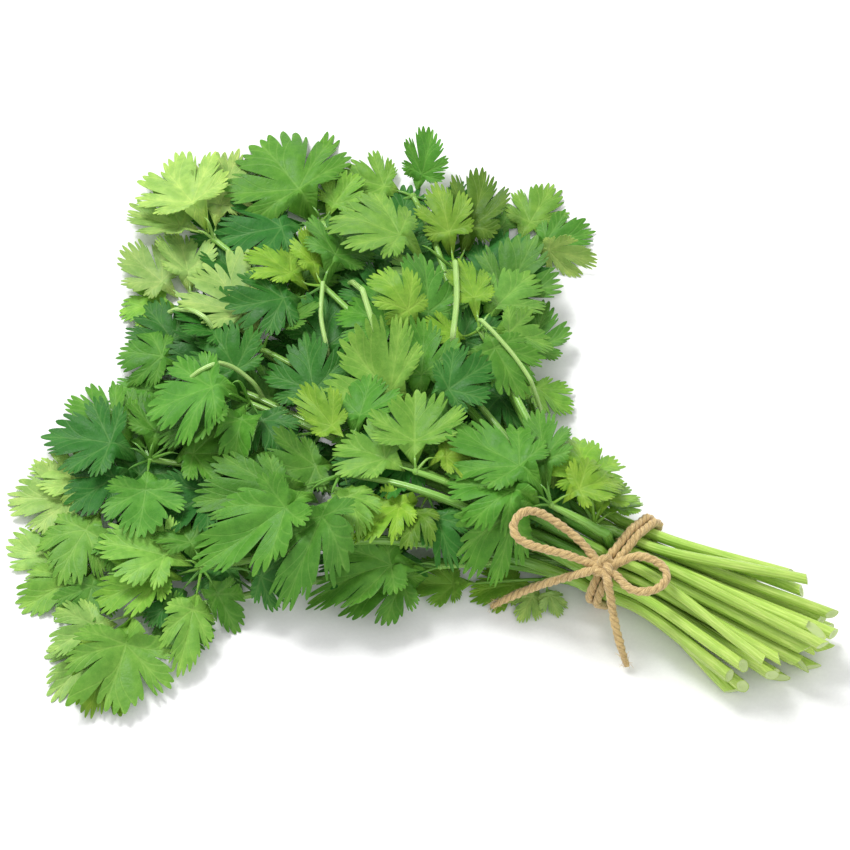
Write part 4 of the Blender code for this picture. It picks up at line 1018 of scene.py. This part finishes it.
def rim(cuts, deep, chance):
    """The outline as bearings round the blade's heart and reach from there, in degrees and lengths."""
    ends = [-BACK] + [at for at, _, _ in deep] + [BACK]
    marks = [-BACK] + [at for at, _, _ in cuts] + [BACK]
    bearing, reach = [], []
    for a, b in zip(marks, marks[1:]):
        x = np.linspace(-1, 1, TOOTH_POINTS + 1)[:-1]
        lobe = min(np.searchsorted(ends, (a + b) / 2), len(ends) - 1)
        lean = TOOTH_LEAN * np.sign(ends[lobe - 1] + ends[lobe] - a - b)
        bearing.append((a + b) / 2 + x * (b - a) / 2)
        reach.append((1 - TOOTH_ROUND * np.abs(x - lean) ** DOME_POWER) * chance.uniform(*TOOTH_PLAY))
    bearing = np.append(np.concatenate(bearing), BACK)
    reach = np.append(np.concatenate(reach), RIM_END) * full_reach(np.abs(bearing) / 180)
    for a, b in zip(ends, ends[1:]):
        inside = (bearing >= a) & (bearing < b)
        across = np.abs(bearing[inside] - (a + b) / 2) / ((b - a) / 2)
        reach[inside] *= (1 - LOBE_DOME * across ** DOME_POWER) * chance.uniform(1 - LOBE_PLAY, 1 + LOBE_PLAY)
    for at, depth, wide in cuts:
        reach *= 1 - depth * np.maximum(0, 1 - np.abs(bearing - at) / wide) ** CUT_POWER
    return bearing, reach


def away_from(points, outline):
    """How far each point is from the nearest corner or middle of the outline's edges."""
    marks = np.concatenate([outline, (outline + np.roll(outline, -1, axis=0)) / 2])
    return np.linalg.norm(points[:, None] - marks[None], axis=2).min(axis=1)


def blade_width(blade):
    return math.sin(math.radians(blade["spread"])) / math.sin(math.radians(WIDTH_AT))


def flat_blade(blade, cuts, deep, chance):
    """The blade laid flat from its foot at the origin, divided into triangles: points and faces."""
    length, wide = blade["length"], blade_width(blade)
    bearing, reach = rim(cuts, deep, chance)
    angle = np.radians(bearing)
    outline = length * np.column_stack([HEART + reach * np.cos(angle), wide * reach * np.sin(angle)])
    outline = np.vstack([outline, [0, 0]])
    rows = np.arange(-length, length, GRID * GRID_ROW)
    columns = np.arange(0, length * 1.1, GRID)
    grid = np.array([(x + (k % 2) * GRID / 2, y) for k, y in enumerate(rows) for x in columns])
    grid = grid + chance.uniform(-GRID_PLAY, GRID_PLAY, grid.shape)
    grid = grid[inside_outline(*grid.T, outline)]
    grid = grid[away_from(grid, outline) > GRID_CLEAR * GRID]
    flat = np.vstack([outline, grid])
    count = len(outline)
    edges = [(k, (k + 1) % count) for k in range(count)]
    made = delaunay_2d_cdt([Vector(p) for p in flat], edges, [], 1, 1e-5)
    flat = np.array([tuple(p) for p in made[0]])
    faces = np.array([f for f in made[2] if len(f) == 3])
    return flat, faces


def waves(angle, counts, chance):
    """Waves round the blade, each with a height and a start of its own."""
    return sum(chance.uniform(-0.5, 0.5) * np.sin(k * angle + chance.uniform(0, math.tau)) for k in counts)


def lobe_tilt(angle, deep, chance):
    """How far each lobe rises or sinks by its own, with a quick change across each of the deep cuts."""
    rise = np.full(len(angle), chance.uniform(-1, 1))
    for at, _, _ in deep:
        share = smooth_step(at - LOBE_STEP, at + LOBE_STEP, np.degrees(angle))
        rise = rise * (1 - share) + chance.uniform(-1, 1) * share
    return rise


def normals(points, faces):
    """The unit normal at each point of a sheet of triangles."""
    normal = np.zeros_like(points)
    corners = points[faces]
    across = np.cross(corners[:, 1] - corners[:, 0], corners[:, 2] - corners[:, 0])
    for k in range(3):
        np.add.at(normal, faces[:, k], across)
    return normal / np.maximum(np.linalg.norm(normal, axis=1), 1e-9)[:, None]


def blade_solid(blade, look):
    """A leaflet's blade as a thin closed solid, with its pleats and its waving rim."""
    chance = np.random.default_rng(blade["seed"])
    cuts, deep = cuts_in_rim(blade, chance)
    flat, faces = flat_blade(blade, cuts, deep, chance)
    length = blade["length"]
    place = flat / length * [1, 1 / blade_width(blade)] - [HEART, 0]
    angle = np.arctan2(place[:, 1], place[:, 0])
    turn = np.abs(angle) / np.pi
    reach = np.linalg.norm(place, axis=1) / full_reach(turn)
    from_vein = np.min([np.abs(turn - vein) for vein in VEINS], axis=0) / VEIN_APART
    forward = flat[:, 0]
    sweep = chance.uniform(-BLADE_SWEEP, BLADE_SWEEP)
    middle = surface(blade, forward, flat[:, 1] + length * sweep * (forward / length) ** 2)
    wave = waves(angle, WAVES, chance)
    pleat = PLEAT * from_vein * smooth_step(0, 0.5, reach) * (1 - 0.5 * reach)
    frill = waves(angle, FRILLS, chance)
    lobe = lobe_tilt(angle, deep, chance) * np.maximum(reach - LOBE_FROM, 0)
    middle[:, 2] += length / HEAVE_LENGTH * (WAVE * wave * reach ** 2 + pleat - DROOP * reach ** 3
                                             + FRILL * frill * reach ** 3 + LOBE_LIFT * lobe)
    thick = BLADE_THICK / 2 * (1 - BLADE_THIN * smooth_step(0.5, 1.0, reach))
    half = normals(middle, faces) * thick[:, None]
    middle[:, 2] += chance.uniform(*BLADE_FOLD) * np.abs(flat[:, 1])
    middle[:, 2] = np.maximum(middle[:, 2], BLADE_LOWEST)
    count = len(middle)
    directed = {(int(a), int(b)) for f in faces for a, b in ((f[0], f[1]), (f[1], f[2]), (f[2], f[0]))}
    walls = [(b, a, a + count, b + count) for a, b in directed if (b, a) not in directed]
    solid = [tuple(f) for f in faces] + [tuple(f[::-1] + count) for f in faces] + walls
    told = np.vstack([np.column_stack([place, np.full(count, side * length / SIZE_UNIT)])
                      for side in (1, -1)])
    tone = np.array(TONES[blade["tone"]]) * chance.uniform(*TONE_SHADE)
    tone = tone * chance.uniform(*TONE_SHIFT)
    look.add(np.vstack([middle + half, middle - half]), solid, tone, told)


# ---- What only the looks have: fillers and bare stalks ----

def fill_gaps(layout):
    """Gives stems small leaflets low in the pile, each reaching from the nearest stem to a bare spot."""
    chance = np.random.default_rng(FILLER_SEED)
    bare = layout.everything.top < FILLER_BARE
    for side in range(0, 360, 45):
        shift = np.rint(unit(side) * FILLER_INSIDE).astype(int)
        bare &= np.roll(layout.inside, tuple(shift), (0, 1))
    stems = np.vstack([np.column_stack([stem["line"], np.full(len(stem["line"]), number)])
                       for number, stem in enumerate(layout.stems)])
    steps = range(-FILLER_REACH, FILLER_REACH + 1)
    x, y = layout.everything.middles()
    for _ in range(FILLERS):
        near = bare * sum(np.roll(bare, (i, j), (0, 1)).astype(int) for i in steps for j in steps)
        if near.max() < FILLER_FROM:
            break
        spot = Pile.LOW + np.unravel_index(near.argmax(), near.shape) + 0.5
        root = stems[np.linalg.norm(stems[:, :2] - spot, axis=1).argmin()]
        way = spot - root[:2]
        heading = math.degrees(math.atan2(way[1], way[0]))
        length = chance.uniform(*FILLER_LENGTH)
        base = spot - unit(heading) * length * FILLER_MIDDLE
        foot = np.append(base, FILLER_LIFT)
        far = np.linalg.norm(way) > length * FILLER_MIDDLE + 3
        start = root[:3] if far else foot - np.append(unit(heading) * FILLER_STALK, 0)
        # A filler lies low in the pile and is mostly dark: partly its own deeper green, partly painted shade.
        layout.leaves[int(root[3])]["blades"].append({
            "heading": heading, "length": length, "spread": chance.uniform(38, 45),
            "tone": chance.choice(list("DMD")), "seed": int(chance.integers(1 << 30)), "base": base,
            "lift": FILLER_LIFT, "slopes": np.array([2.0, -3.0, chance.uniform(-4, 4), -5.0]),
            "ground": np.zeros(Pile.SIZE),
            "stalk": np.array([start, (start + foot) / 2, foot + np.append(unit(heading) * 2, 0)]),
        })
        bare &= np.hypot(x - spot[0], y - spot[1]) > FILLER_APART


def sinking(left, depth, length):
    """How far a stalk sinks in towards an end, from the distance that is left to it."""
    return depth * smooth_step(0, length, length - left) ** 2


def lay_bare_stalks(layout):
    """Gives leaves the bare stalks on top, each lying on what is beneath it, its free ends sunk in."""
    hubs = [(hub, leaf) for leaf in layout.leaves for hub, _ in leaf["hubs"]]
    for start, middle, end, radius in BARE_STALKS:
        hub, leaf = min(hubs, key=lambda found: np.linalg.norm(found[0][:2] - start))
        from_hub = np.linalg.norm(hub[:2] - start) < BARE_NEAR
        if from_hub:
            start = hub[:2]
        plan = smooth_line([(*start, 0), (*middle, 0), (*end, 0)], 1.0)[:, :2]
        distance = along(plan)
        thick = np.full(len(plan), radius)
        height = over(distance, layout.needed(plan, thick))
        sunk = BARE_SINK + sinking(distance[-1] - distance, *BARE_END)
        if not from_hub:
            sunk += sinking(distance, *BARE_START)
        leaf.setdefault("bare", []).append((np.column_stack([plan, height - sunk]), thick))


def add_foliage(number, leaf, stem, finishes):
    """A whole leaf: its blades, their little stalks, its own part of the stalk, and its hubs."""
    look = Shape()
    sink, length = STALK_SINK
    for blade in leaf["blades"]:
        blade_solid(blade, look)
        line = smooth_line(blade["stalk"], STALK_STEP)
        left = along(line)[-1] - along(line)
        line[:, 2] -= sink * (1 - np.clip(left / length, 0, 1))
        tone = 0.35 * np.array(STALK_LEAF) + 0.6 * np.array(TONES[blade["tone"]])
        look.add_tube(line, np.interp(left, STALK_MARKS, STALK_RADII), 7, 0.1, tone)
    for line, radius in leaf.get("bare", []):
        look.add_tube(line, radius, 9, 0.1, BARE_TONE)
    rib = np.vstack([stem["line"][-2:], leaf["rib"]["line"]])
    if len(rib) > 3:
        rib = smooth_line(rib, RIB_STEP)
        radii = [stem["radius"][-1], leaf["rib"]["radius"][-1]]
        look.add_tube(rib, np.interp(np.linspace(0, 1, len(rib)), [0, 1], radii), 10, 0.5, STALK_LEAF)
    rise = np.linspace(-HUB_TOP, HUB_TOP, 7)
    for hub, size in leaf["hubs"]:
        ball = min(size, HUB_LOOK)
        column = hub + np.outer(np.sin(rise), (0, 0, ball))
        look.add_tube(column, ball * np.cos(rise), 10, 0.05, STALK_LEAF)
    return look.made(f"leaf_look_{number:02d}", finishes, "leaf", f"leaf_{number:02d}")


# ---- Stems ----

def add_stalk(number, stem, finishes):
    """A ridged stem, cut across at a slant, with a hollow in the cut."""
    chance = np.random.default_rng(STEM_SEED + number)
    line = smooth_line(np.column_stack([stem["line"], stem["radius"]]), STEM_STEP)
    line, radius = line[:, :3], line[:, 3]
    rows, sides = len(line), STEM_SIDES
    ways, right, up = frames(line)
    distance, angle = along(line), angles(sides)
    turn = chance.uniform(0, math.tau)
    flute = 1 + FLUTE * np.cos(FLUTES * angle[None] + turn + distance[:, None] * 0.01)
    swell = 1 + SWELL * np.sin(distance * SWELL_RATE + turn)
    thick = radius * swell * chance.uniform(*STEM_THICK)
    points = around(line, right, up, thick[:, None] * flute)
    slant = math.tan(math.radians(chance.uniform(*SLANT)))
    lean = chance.uniform(0, math.tau)
    fade = np.clip(1 - distance / SLANT_LENGTH, 0, 1)[:, None]
    slide = (np.cos(angle - lean)[None] + 1) * thick[:, None] * slant * fade
    points = points + ways[:, None] * slide[:, :, None]

    tie = np.linalg.norm(line[:, :2], axis=1).argmin() / rows
    # Pale at the cut, green at the leaf, and between them darkest among the leaves, which is painted shade.
    marks = [0, tie, tie + STEM_SHADE_DEEPEST_AT * (1 - tie), 1]
    tones = zip(STALK_CUT, STALK_TIE, STALK_SHADED_AMONG_LEAVES, STALK_LEAF)
    tone = np.array([np.interp(distance / distance[-1], marks, column) for column in tones]).T
    tone = np.repeat(tone * chance.uniform(*STEM_SHADE), sides, axis=0)

    end = points[0]
    centre = end.mean(axis=0)
    cut = [centre + (end - centre) * size + ways[0] * depth for size, depth in CUT_RINGS]
    tip = line[-1:] + ways[-1:] * 0.3
    points = np.vstack([points.reshape(-1, 3)] + cut + [cut[-1].mean(axis=0)[None], tip])
    base, hole = rows * sides, (rows + len(cut)) * sides
    rings = [0] + [base + k * sides for k in range(len(cut))]
    faces = wall(rows, sides)
    for a, b in zip(rings, rings[1:]):
        faces += between(b, a, sides)
    faces += cap(hole, rings[-1], sides, back=True) + cap(hole + 1, (rows - 1) * sides, sides)
    flags = np.zeros((len(cut) * sides + 2, 3))
    flags[:-1, 2] = 1
    place = np.vstack([round_places(line, sides), flags])
    tone = np.vstack([tone, np.tile(tone[0], (len(cut) * sides + 1, 1)), tone[-1:]])
    look = Shape()
    look.add(points, faces, tone, place)
    return look.made(f"stem_look_{number:02d}", finishes, "stem", f"stem_{number:02d}", 35)


# ---- Twine ----

def twisted(line, look, side=None, turns=None, radius=TWINE_RADIUS, closed=False, thin=0.0):
    """Three-ply twine along a line. A closed line is a ring whose ends meet."""
    size = along(np.vstack([line, line[:1]]) if closed else line)[-1]
    turns = turns or max(1, round(size / TWIST))
    if closed:
        padded = np.vstack([line[-1:], line, line[:1]])
        _, right, up = (part[1:-1] for part in frames(padded, side))
    else:
        _, right, up = frames(line, side)
    rows, sides = len(line), PLY_SIDES * PLIES
    distance = along(line)
    local = angles(sides)[None] - (distance / size * turns * math.tau)[:, None]
    groove = np.abs(np.cos(local * PLIES / 2)) ** PLY_ROUND
    wander = 3 * np.sin(distance * 1.7)[:, None]
    rough = 1 + TWINE_ROUGH * np.sin(9 * local + wander) * np.sin(distance * 2.3)[:, None]
    swell = 1 + TWINE_ROUGH * np.sin(distance * 0.9 + 1) + 0.04 * np.sin(distance * 2.1)
    taper = np.ones(rows) if not thin else 1 - thin * smooth_step(size - TAIL_LENGTH, size, distance)
    reach = radius * (swell * taper)[:, None] * (1 - GROOVE + GROOVE * groove) * rough
    points = around(line, right, up, reach).reshape(-1, 3)
    faces = wall(rows, sides, closed)
    place = np.column_stack([(local * PLIES / math.tau).ravel(), np.repeat(distance, sides), groove.ravel()])
    if not closed:
        faces += caps(len(points), rows, sides)
        points = np.vstack([points, line[:1], line[-1:]])
        place = np.vstack([place, [0, 0, 0.5], [0, size, 0.5]])
    look.add(points, faces, TWINE_TONE, place)


def add_fibres(line, look, chance, per_mm, longest, radius=TWINE_RADIUS, only_end=0.0):
    """Loose fibres that stand off the twine."""
    ways, right, up = frames(line)
    distance = along(line)
    first = max(0, distance[-1] - only_end) if only_end else 0
    share = np.linspace(0, 1, 5)
    for _ in range(int(per_mm * distance[-1])):
        at = chance.uniform(first, distance[-1])
        k = min(int(np.searchsorted(distance, at)), len(line) - 1)
        phi = chance.uniform(0, math.tau)
        out = right[k] * math.cos(phi) + up[k] * math.sin(phi)
        lean = ways[k] * chance.choice((-1, 1)) * chance.uniform(0.6, 1.4)
        size = chance.uniform(0.35, 1) * longest
        start = line[k] + out * radius * 0.8
        bend = np.cross(ways[k], out) * chance.uniform(-0.6, 0.6)
        path = (start + share[:, None] * size * (out * 0.5 + lean * 0.7)
                + share[:, None] ** 2 * size * bend)
        if path[:, 2].min() >= FIBRE_LOWEST:
            radii = np.linspace(*FIBRE_RADII, len(share))
            look.add_tube(path, radii, 4, 0.02, TWINE_TONE, (0.0, at, 0.9), 0)


def add_band_look(finish):
    """Two turns of twine side by side round the stems."""
    look = Shape()
    chance = np.random.default_rng(BAND_SEED)
    ring = band_line()
    whole = smooth_through(np.vstack([ring[-2:], ring, ring[:2]]))
    closed = whole[2 * SMOOTH:-2 * SMOOTH - 1]
    along_stems = np.append(unit(STEM_BEARING + BAND_SLANT), 0)
    for offset, turns in zip((-TWINE / 2, TWINE / 2), BAND_TURNS):
        line = evenly(np.vstack([closed, closed[:1]]) + along_stems * offset, TWINE_STEP)[:-1]
        twisted(line, look, along_stems, turns, closed=True)
        add_fibres(line, look, chance, *BAND_FIBRES)
    return look.made("band_look", [finish], "twine", "twine_band", 80)


def strand_ends(strands):
    """Each strand's ends at the knot, two of a loop and one of a tail, and the points before them."""
    for name, line in strands:
        yield line[0], line[1]
        if "loop" in name:
            yield line[-1], line[-2]


def add_knot_look(strands, finish):
    """The bow's knot: the twine wound through itself, with the strands of the bow running into it."""
    middle, out = knot_place()
    look = Shape()
    t = np.linspace(0, math.tau * KNOT_LAP, 90)
    knot = KNOT_LOOK * np.column_stack([np.sin(t) + 2 * np.sin(2 * t), np.cos(t) - 2 * np.cos(2 * t),
                                        -KNOT_FLAT * np.sin(3 * t)])
    side = np.append(unit(STEM_BEARING), 0)
    side = side - out * (side @ out)
    side /= np.linalg.norm(side)
    line = middle + knot[:, :1] * side + knot[:, 1:2] * np.cross(out, side) + knot[:, 2:] * out
    line = evenly(line, TWINE_STEP)
    twisted(line, look, radius=KNOT_TWINE)
    for end, before in strand_ends(strands):
        ahead = (end - before) / np.linalg.norm(end - before)
        inside = middle + KNOT_DEPTH * (end - middle)
        course = bezier(end - 0.6 * ahead, end + 1.2 * ahead, (inside + end) / 2, inside)
        twisted(evenly(course, 0.5), look)
    add_fibres(line, look, np.random.default_rng(KNOT_SEED), *BAND_FIBRES)
    return look.made("knot_look", [finish], "twine", "twine_knot", 80)


def add_cord(name, line, finish, tail, seed):
    """A loop or a tail of the bow."""
    look = Shape()
    path = evenly(line, TWINE_STEP)
    twisted(path, look, thin=TAIL_THIN if tail else 0.0)
    chance = np.random.default_rng(seed)
    add_fibres(path, look, chance, *BOW_FIBRES)
    if tail:
        add_fibres(path, look, chance, *TAIL_FIBRES)
    piece = look.made(name.replace("twine", "bow"), [finish], "twine", name, 80)
    return piece


# ---- Materials ----

class Value:
    """A number or colour that nodes work out, which can stand in a sum like a plain one."""

    def __init__(self, nodes, socket):
        self.nodes = nodes
        self.socket = socket

    def __add__(self, other):
        return self.nodes.math("ADD", self, other)

    def __sub__(self, other):
        return self.nodes.math("SUBTRACT", self, other)

    def __mul__(self, other):
        return self.nodes.math("MULTIPLY", self, other)

    def __truediv__(self, other):
        return self.nodes.math("DIVIDE", self, other)

    def __abs__(self):
        return self.nodes.math("ABSOLUTE", self)


class Nodes:
    """A material's nodes, each made and joined in one call."""

    def __init__(self, name):
        self.material = bpy.data.materials.new(name)
        self.material.use_nodes = True
        self.tree = self.material.node_tree
        self.tree.nodes.clear()

    def add(self, kind, inputs=(), out=0, **settings):
        made = self.tree.nodes.new("ShaderNode" + kind)
        for key, value in settings.items():
            setattr(made, key, value)
        for place, value in dict(inputs).items():
            if isinstance(value, Value):
                self.tree.links.new(value.socket, made.inputs[place])
            else:
                made.inputs[place].default_value = value
        return Value(self, made.outputs[out])

    def math(self, operation, *values):
        return self.add("Math", dict(enumerate(values)), operation=operation)

    def step(self, value, low, high, to_low=0.0, to_high=1.0):
        """A smooth step from one value to another."""
        inputs = {0: value, 1: low, 2: high, 3: to_low, 4: to_high}
        return self.add("MapRange", inputs, interpolation_type="SMOOTHSTEP")

    def mix(self, share, a, b, blend="MIX"):
        a, b = (colour if isinstance(colour, Value) else (*colour, 1.0) for colour in (a, b))
        return self.add("Mix", {0: share, 6: a, 7: b}, 2, data_type="RGBA", blend_type=blend)

    def times(self, colour, factors):
        return self.mix(1.0, colour, factors, "MULTIPLY")

    def place(self):
        """Where on the object the shaded point is."""
        return self.add("TexCoord", out=3)

    def noise(self, scale, detail, rough, where=None):
        inputs = {"Vector": where or self.place(), "Scale": scale, "Detail": detail, "Roughness": rough}
        return self.add("TexNoise", inputs)

    def attribute(self, name, out=1):
        return self.add("Attribute", attribute_name=name, out=out)

    def told(self):
        """The three numbers that each point of a mesh tells its material."""
        first = self.add("SeparateXYZ", {0: self.attribute("place")})
        return [Value(self, socket) for socket in first.socket.node.outputs]

    def stretched(self, around, distance):
        return self.add("CombineXYZ", {0: around, 1: distance, 2: 0.0})

    def bump(self, height, strength, distance):
        return self.add("Bump", {"Height": height, "Strength": strength, "Distance": distance})

    def skin(self, colour, rough, bump, shine, **more):
        """The main shader. Names in more have underscores for spaces."""
        inputs = {"Base Color": colour, "Roughness": rough, "Normal": bump, "Specular IOR Level": shine}
        inputs.update({name.replace("_", " "): value for name, value in more.items()})
        return self.add("BsdfPrincipled", inputs)

    def surface(self, shader):
        output = self.tree.nodes.new("ShaderNodeOutputMaterial")
        self.tree.links.new(shader.socket, output.inputs["Surface"])
        return self.material


def leaf_finish():
    """Soft green blades: lighter veins that fan out to the teeth, painted shade between them, a rim painted
    lighter, a paler underside, light coming through.
    """
    n = Nodes("coriander_leaf")
    tone = n.attribute("tone", 0)
    ahead, aside, size = n.told()
    mottle_and_relief_shade = n.noise(260.0, 4.0, 0.6)
    fine = n.noise(1500.0, 2.0, 0.5)

    # Where the shaded point is in the blade, and how far from a vein, in millimetres.
    turn = abs(n.math("ARCTAN2", aside, ahead)) / math.pi
    away = n.math("SQRT", ahead * ahead + aside * aside)
    full = n.math("POWER", n.math("MINIMUM", turn, NARROWEST), NARROWING_POWER)
    reach = away / n.math("MULTIPLY_ADD", full, -NARROWING * REACH, REACH)
    off = abs(turn - VEINS[0])
    for main in VEINS[1:]:
        off = n.math("MINIMUM", off, abs(turn - main))
    arc = away * abs(size) * (SIZE_UNIT * math.pi)
    vein = n.step(off * arc, 0.12, 0.5, 1.0, 0.0)
    for start, end in BRANCHES:
        beside = abs(off - n.step(reach, start, 1.1) * end) * arc
        branch = n.step(beside, 0.08, 0.36, 1.0, 0.0) * n.step(reach, start, start + 0.12)
        vein = n.math("MAXIMUM", vein, branch * 0.7)
    net = n.add("TexVoronoi", {"Vector": n.place(), "Scale": 620.0}, feature="DISTANCE_TO_EDGE")
    net = n.step(net, 0.0, 0.09, 1.0, 0.0)

    # Lighter and darker blotches, lighter where the same noise raises the bump: partly the leaf's own uneven
    # colour, partly painted shade of that relief.
    darker, lighter = n.times(tone, (0.82, 0.88, 0.80)), n.times(tone, (1.15, 1.08, 1.1))
    colour = n.mix(n.step(mottle_and_relief_shade, 0.35, 0.7), darker, lighter)
    # Lighter and yellower towards the rim: partly the margin's own colour, partly painted light.
    colour = n.mix(n.step(reach, 0.55, 1.0) * 0.35, colour, n.times(colour, (1.35, 1.2, 0.95)))
    veined = n.mix(0.22, n.times(colour, (1.5, 1.25, 1.4)), (0.42, 0.62, 0.2))
    # Painted shade: darker between the main veins, more so towards the rim.
    painted_pleat_shade = n.step(off * arc, 0.3, 3.2) * n.step(reach, 0.15, 0.7, 0.3, 0.75)
    colour = n.mix(painted_pleat_shade, colour, n.times(colour, (0.72, 0.82, 0.74)))
    colour = n.mix(vein * 0.45, colour, veined)
    colour = n.mix(net * 0.12, colour, veined)
    under = n.step(size, -0.02, 0.02, 1.0, 0.0)
    colour = n.mix(under, colour, n.mix(0.42, colour, (0.34, 0.50, 0.24)))

    bump = n.bump(vein * -0.55 + fine * 0.35 + mottle_and_relief_shade * 1.6 + net * -0.12, 0.55, 0.00035)
    rough = n.step(mottle_and_relief_shade, 0.3, 0.75, 0.36, 0.54) + under * 0.15
    leaf = n.skin(colour, rough, bump, 0.30, IOR=1.42, Sheen_Weight=0.02, Sheen_Roughness=0.4)
    glow = n.add("BsdfTranslucent", {"Color": n.times(colour, (1.35, 1.25, 0.55)), "Normal": bump})
    return n.surface(n.add("MixShader", {0: 0.28, 1: leaf, 2: glow}))


def stalk_finish():
    """Juicy ribbed green, pale where it is cut."""
    n = Nodes("coriander_stem")
    tone = n.attribute("tone", 0)
    around, distance, cut = n.told()
    ridges = n.math("SINE", around * (math.tau * 11))
    streak = n.noise(1.0, 3.0, 0.6, n.stretched(around * 18.0, distance * 0.10))
    cloud = n.noise(90.0, 3.0, 0.5)
    darker, lighter = n.times(tone, (0.80, 0.88, 0.72)), n.times(tone, (1.18, 1.10, 1.35))
    colour = n.mix(n.step(streak, 0.4, 0.75), darker, lighter)
    colour = n.mix(n.step(cloud, 0.45, 0.7, 0.0, 0.5), colour, n.times(colour, (0.78, 0.92, 0.7)))
    colour = n.mix(n.step(cut, 0.2, 0.9), colour, (0.50, 0.62, 0.26))
    bump = n.bump(ridges * 0.5 + streak * 0.5, 0.4, 0.00025)
    rough = n.step(streak, 0.3, 0.8, 0.2, 0.36)
    return n.surface(n.skin(colour, rough, bump, 0.5, IOR=1.42, Subsurface_Weight=0.12,
                            Subsurface_Radius=(0.0012, 0.0016, 0.0005), Subsurface_Scale=1.0))


def twine_finish():
    """Jute: fibres along the plies, with painted shade in the grooves."""
    n = Nodes("jute_twine")
    around, distance, groove = n.told()
    strands = n.noise(1.0, 4.0, 0.65, n.stretched(around * 7.0, distance * 0.9))
    cloud = n.noise(160.0, 3.0, 0.6)
    colour = n.mix(n.step(strands, 0.3, 0.72), (0.38, 0.24, 0.085), (0.84, 0.64, 0.31))
    colour = n.mix(n.step(cloud, 0.4, 0.7, 0.0, 0.6), colour, (0.72, 0.52, 0.22))
    # Painted shade in the grooves between the plies.
    colour = n.mix(n.step(groove, 0.0, 0.6, 0.7, 0.0), colour, (0.19, 0.11, 0.038))
    bump = n.bump(strands, 0.8, 0.0005)
    return n.surface(n.skin(colour, 0.82, bump, 0.25, Sheen_Weight=0.25, Sheen_Roughness=0.5))


def floor_finish():
    n = Nodes("paper_floor")
    grain = n.noise(900.0, 3.0, 0.6)
    colour = n.mix(n.step(grain, 0.3, 0.7), (0.90, 0.90, 0.90), (0.93, 0.93, 0.93))
    return n.surface(n.skin(colour, 0.85, n.bump(grain, 0.1, 0.0002), 0.1))


# ---- Studio ----

def add_camera():
    data = bpy.data.cameras.new("camera")
    data.lens = LENS
    data.sensor_width = SENSOR
    data.clip_start = 0.01
    data.clip_end = 20.0
    camera = linked("camera", data)
    lift = math.radians(VIEW_ELEVATION)
    distance = VIEW_WIDTH * MM * LENS / SENSOR
    middle = Vector(to_scene(VIEW_MIDDLE))
    camera.location = middle + Vector((0, -math.cos(lift), math.sin(lift))) * distance
    camera.rotation_euler = (math.pi / 2 - lift, 0, 0)
    bpy.context.scene.camera = camera


def add_studio():
    """A white paper floor, two round lamps and an even white sky."""
    mesh = bpy.data.meshes.new("floor")
    corners = [(FLOOR_SIZE * x, FLOOR_SIZE * y, 0) for x, y in ((-1, -1), (1, -1), (1, 1), (-1, 1))]
    mesh.from_pydata(corners, [], [(0, 1, 2, 3)])
    mesh.materials.append(floor_finish())
    linked("floor", mesh)
    world = bpy.data.worlds.new("studio")
    bpy.context.scene.world = world
    world.use_nodes = True
    sky = world.node_tree.nodes["Background"].inputs
    sky["Color"].default_value = (1.0, 1.0, 1.0, 1.0)
    sky["Strength"].default_value = WORLD_LIGHT
    for name, place, size, power in LAMPS:
        data = bpy.data.lights.new(name, "AREA")
        data.shape = "DISK"
        data.size = size
        data.energy = power
        lamp = linked(name, data)
        lamp.location = place
        lamp.rotation_euler = (-Vector(place)).to_track_quat("-Z", "Y").to_euler()
    bpy.context.scene.view_settings.view_transform = "Standard"


def main():
    add_camera()
    layout = Layout()
    fill_gaps(layout)
    lay_bare_stalks(layout)
    foliage, stalk, twine = leaf_finish(), stalk_finish(), twine_finish()
    for number, (stem, leaf) in enumerate(zip(layout.stems, layout.leaves), 1):
        add_stalk(number, stem, [stalk])
        add_foliage(number, leaf, stem, [foliage, stalk])
    add_band_look(twine)
    strands = []
    for seed, (name, route) in enumerate(BOW, BOW_SEED):
        line = strand(route, layout)
        strands.append((name, line))
        add_cord(name, line, twine, "tail" in name, seed)
        layout.rasterise_tube(line, np.full(len(line), TWINE / 2), layout.everything)
    add_knot_look(strands, twine)
    add_studio()
    bpy.context.view_layer.update()
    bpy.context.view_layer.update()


main()
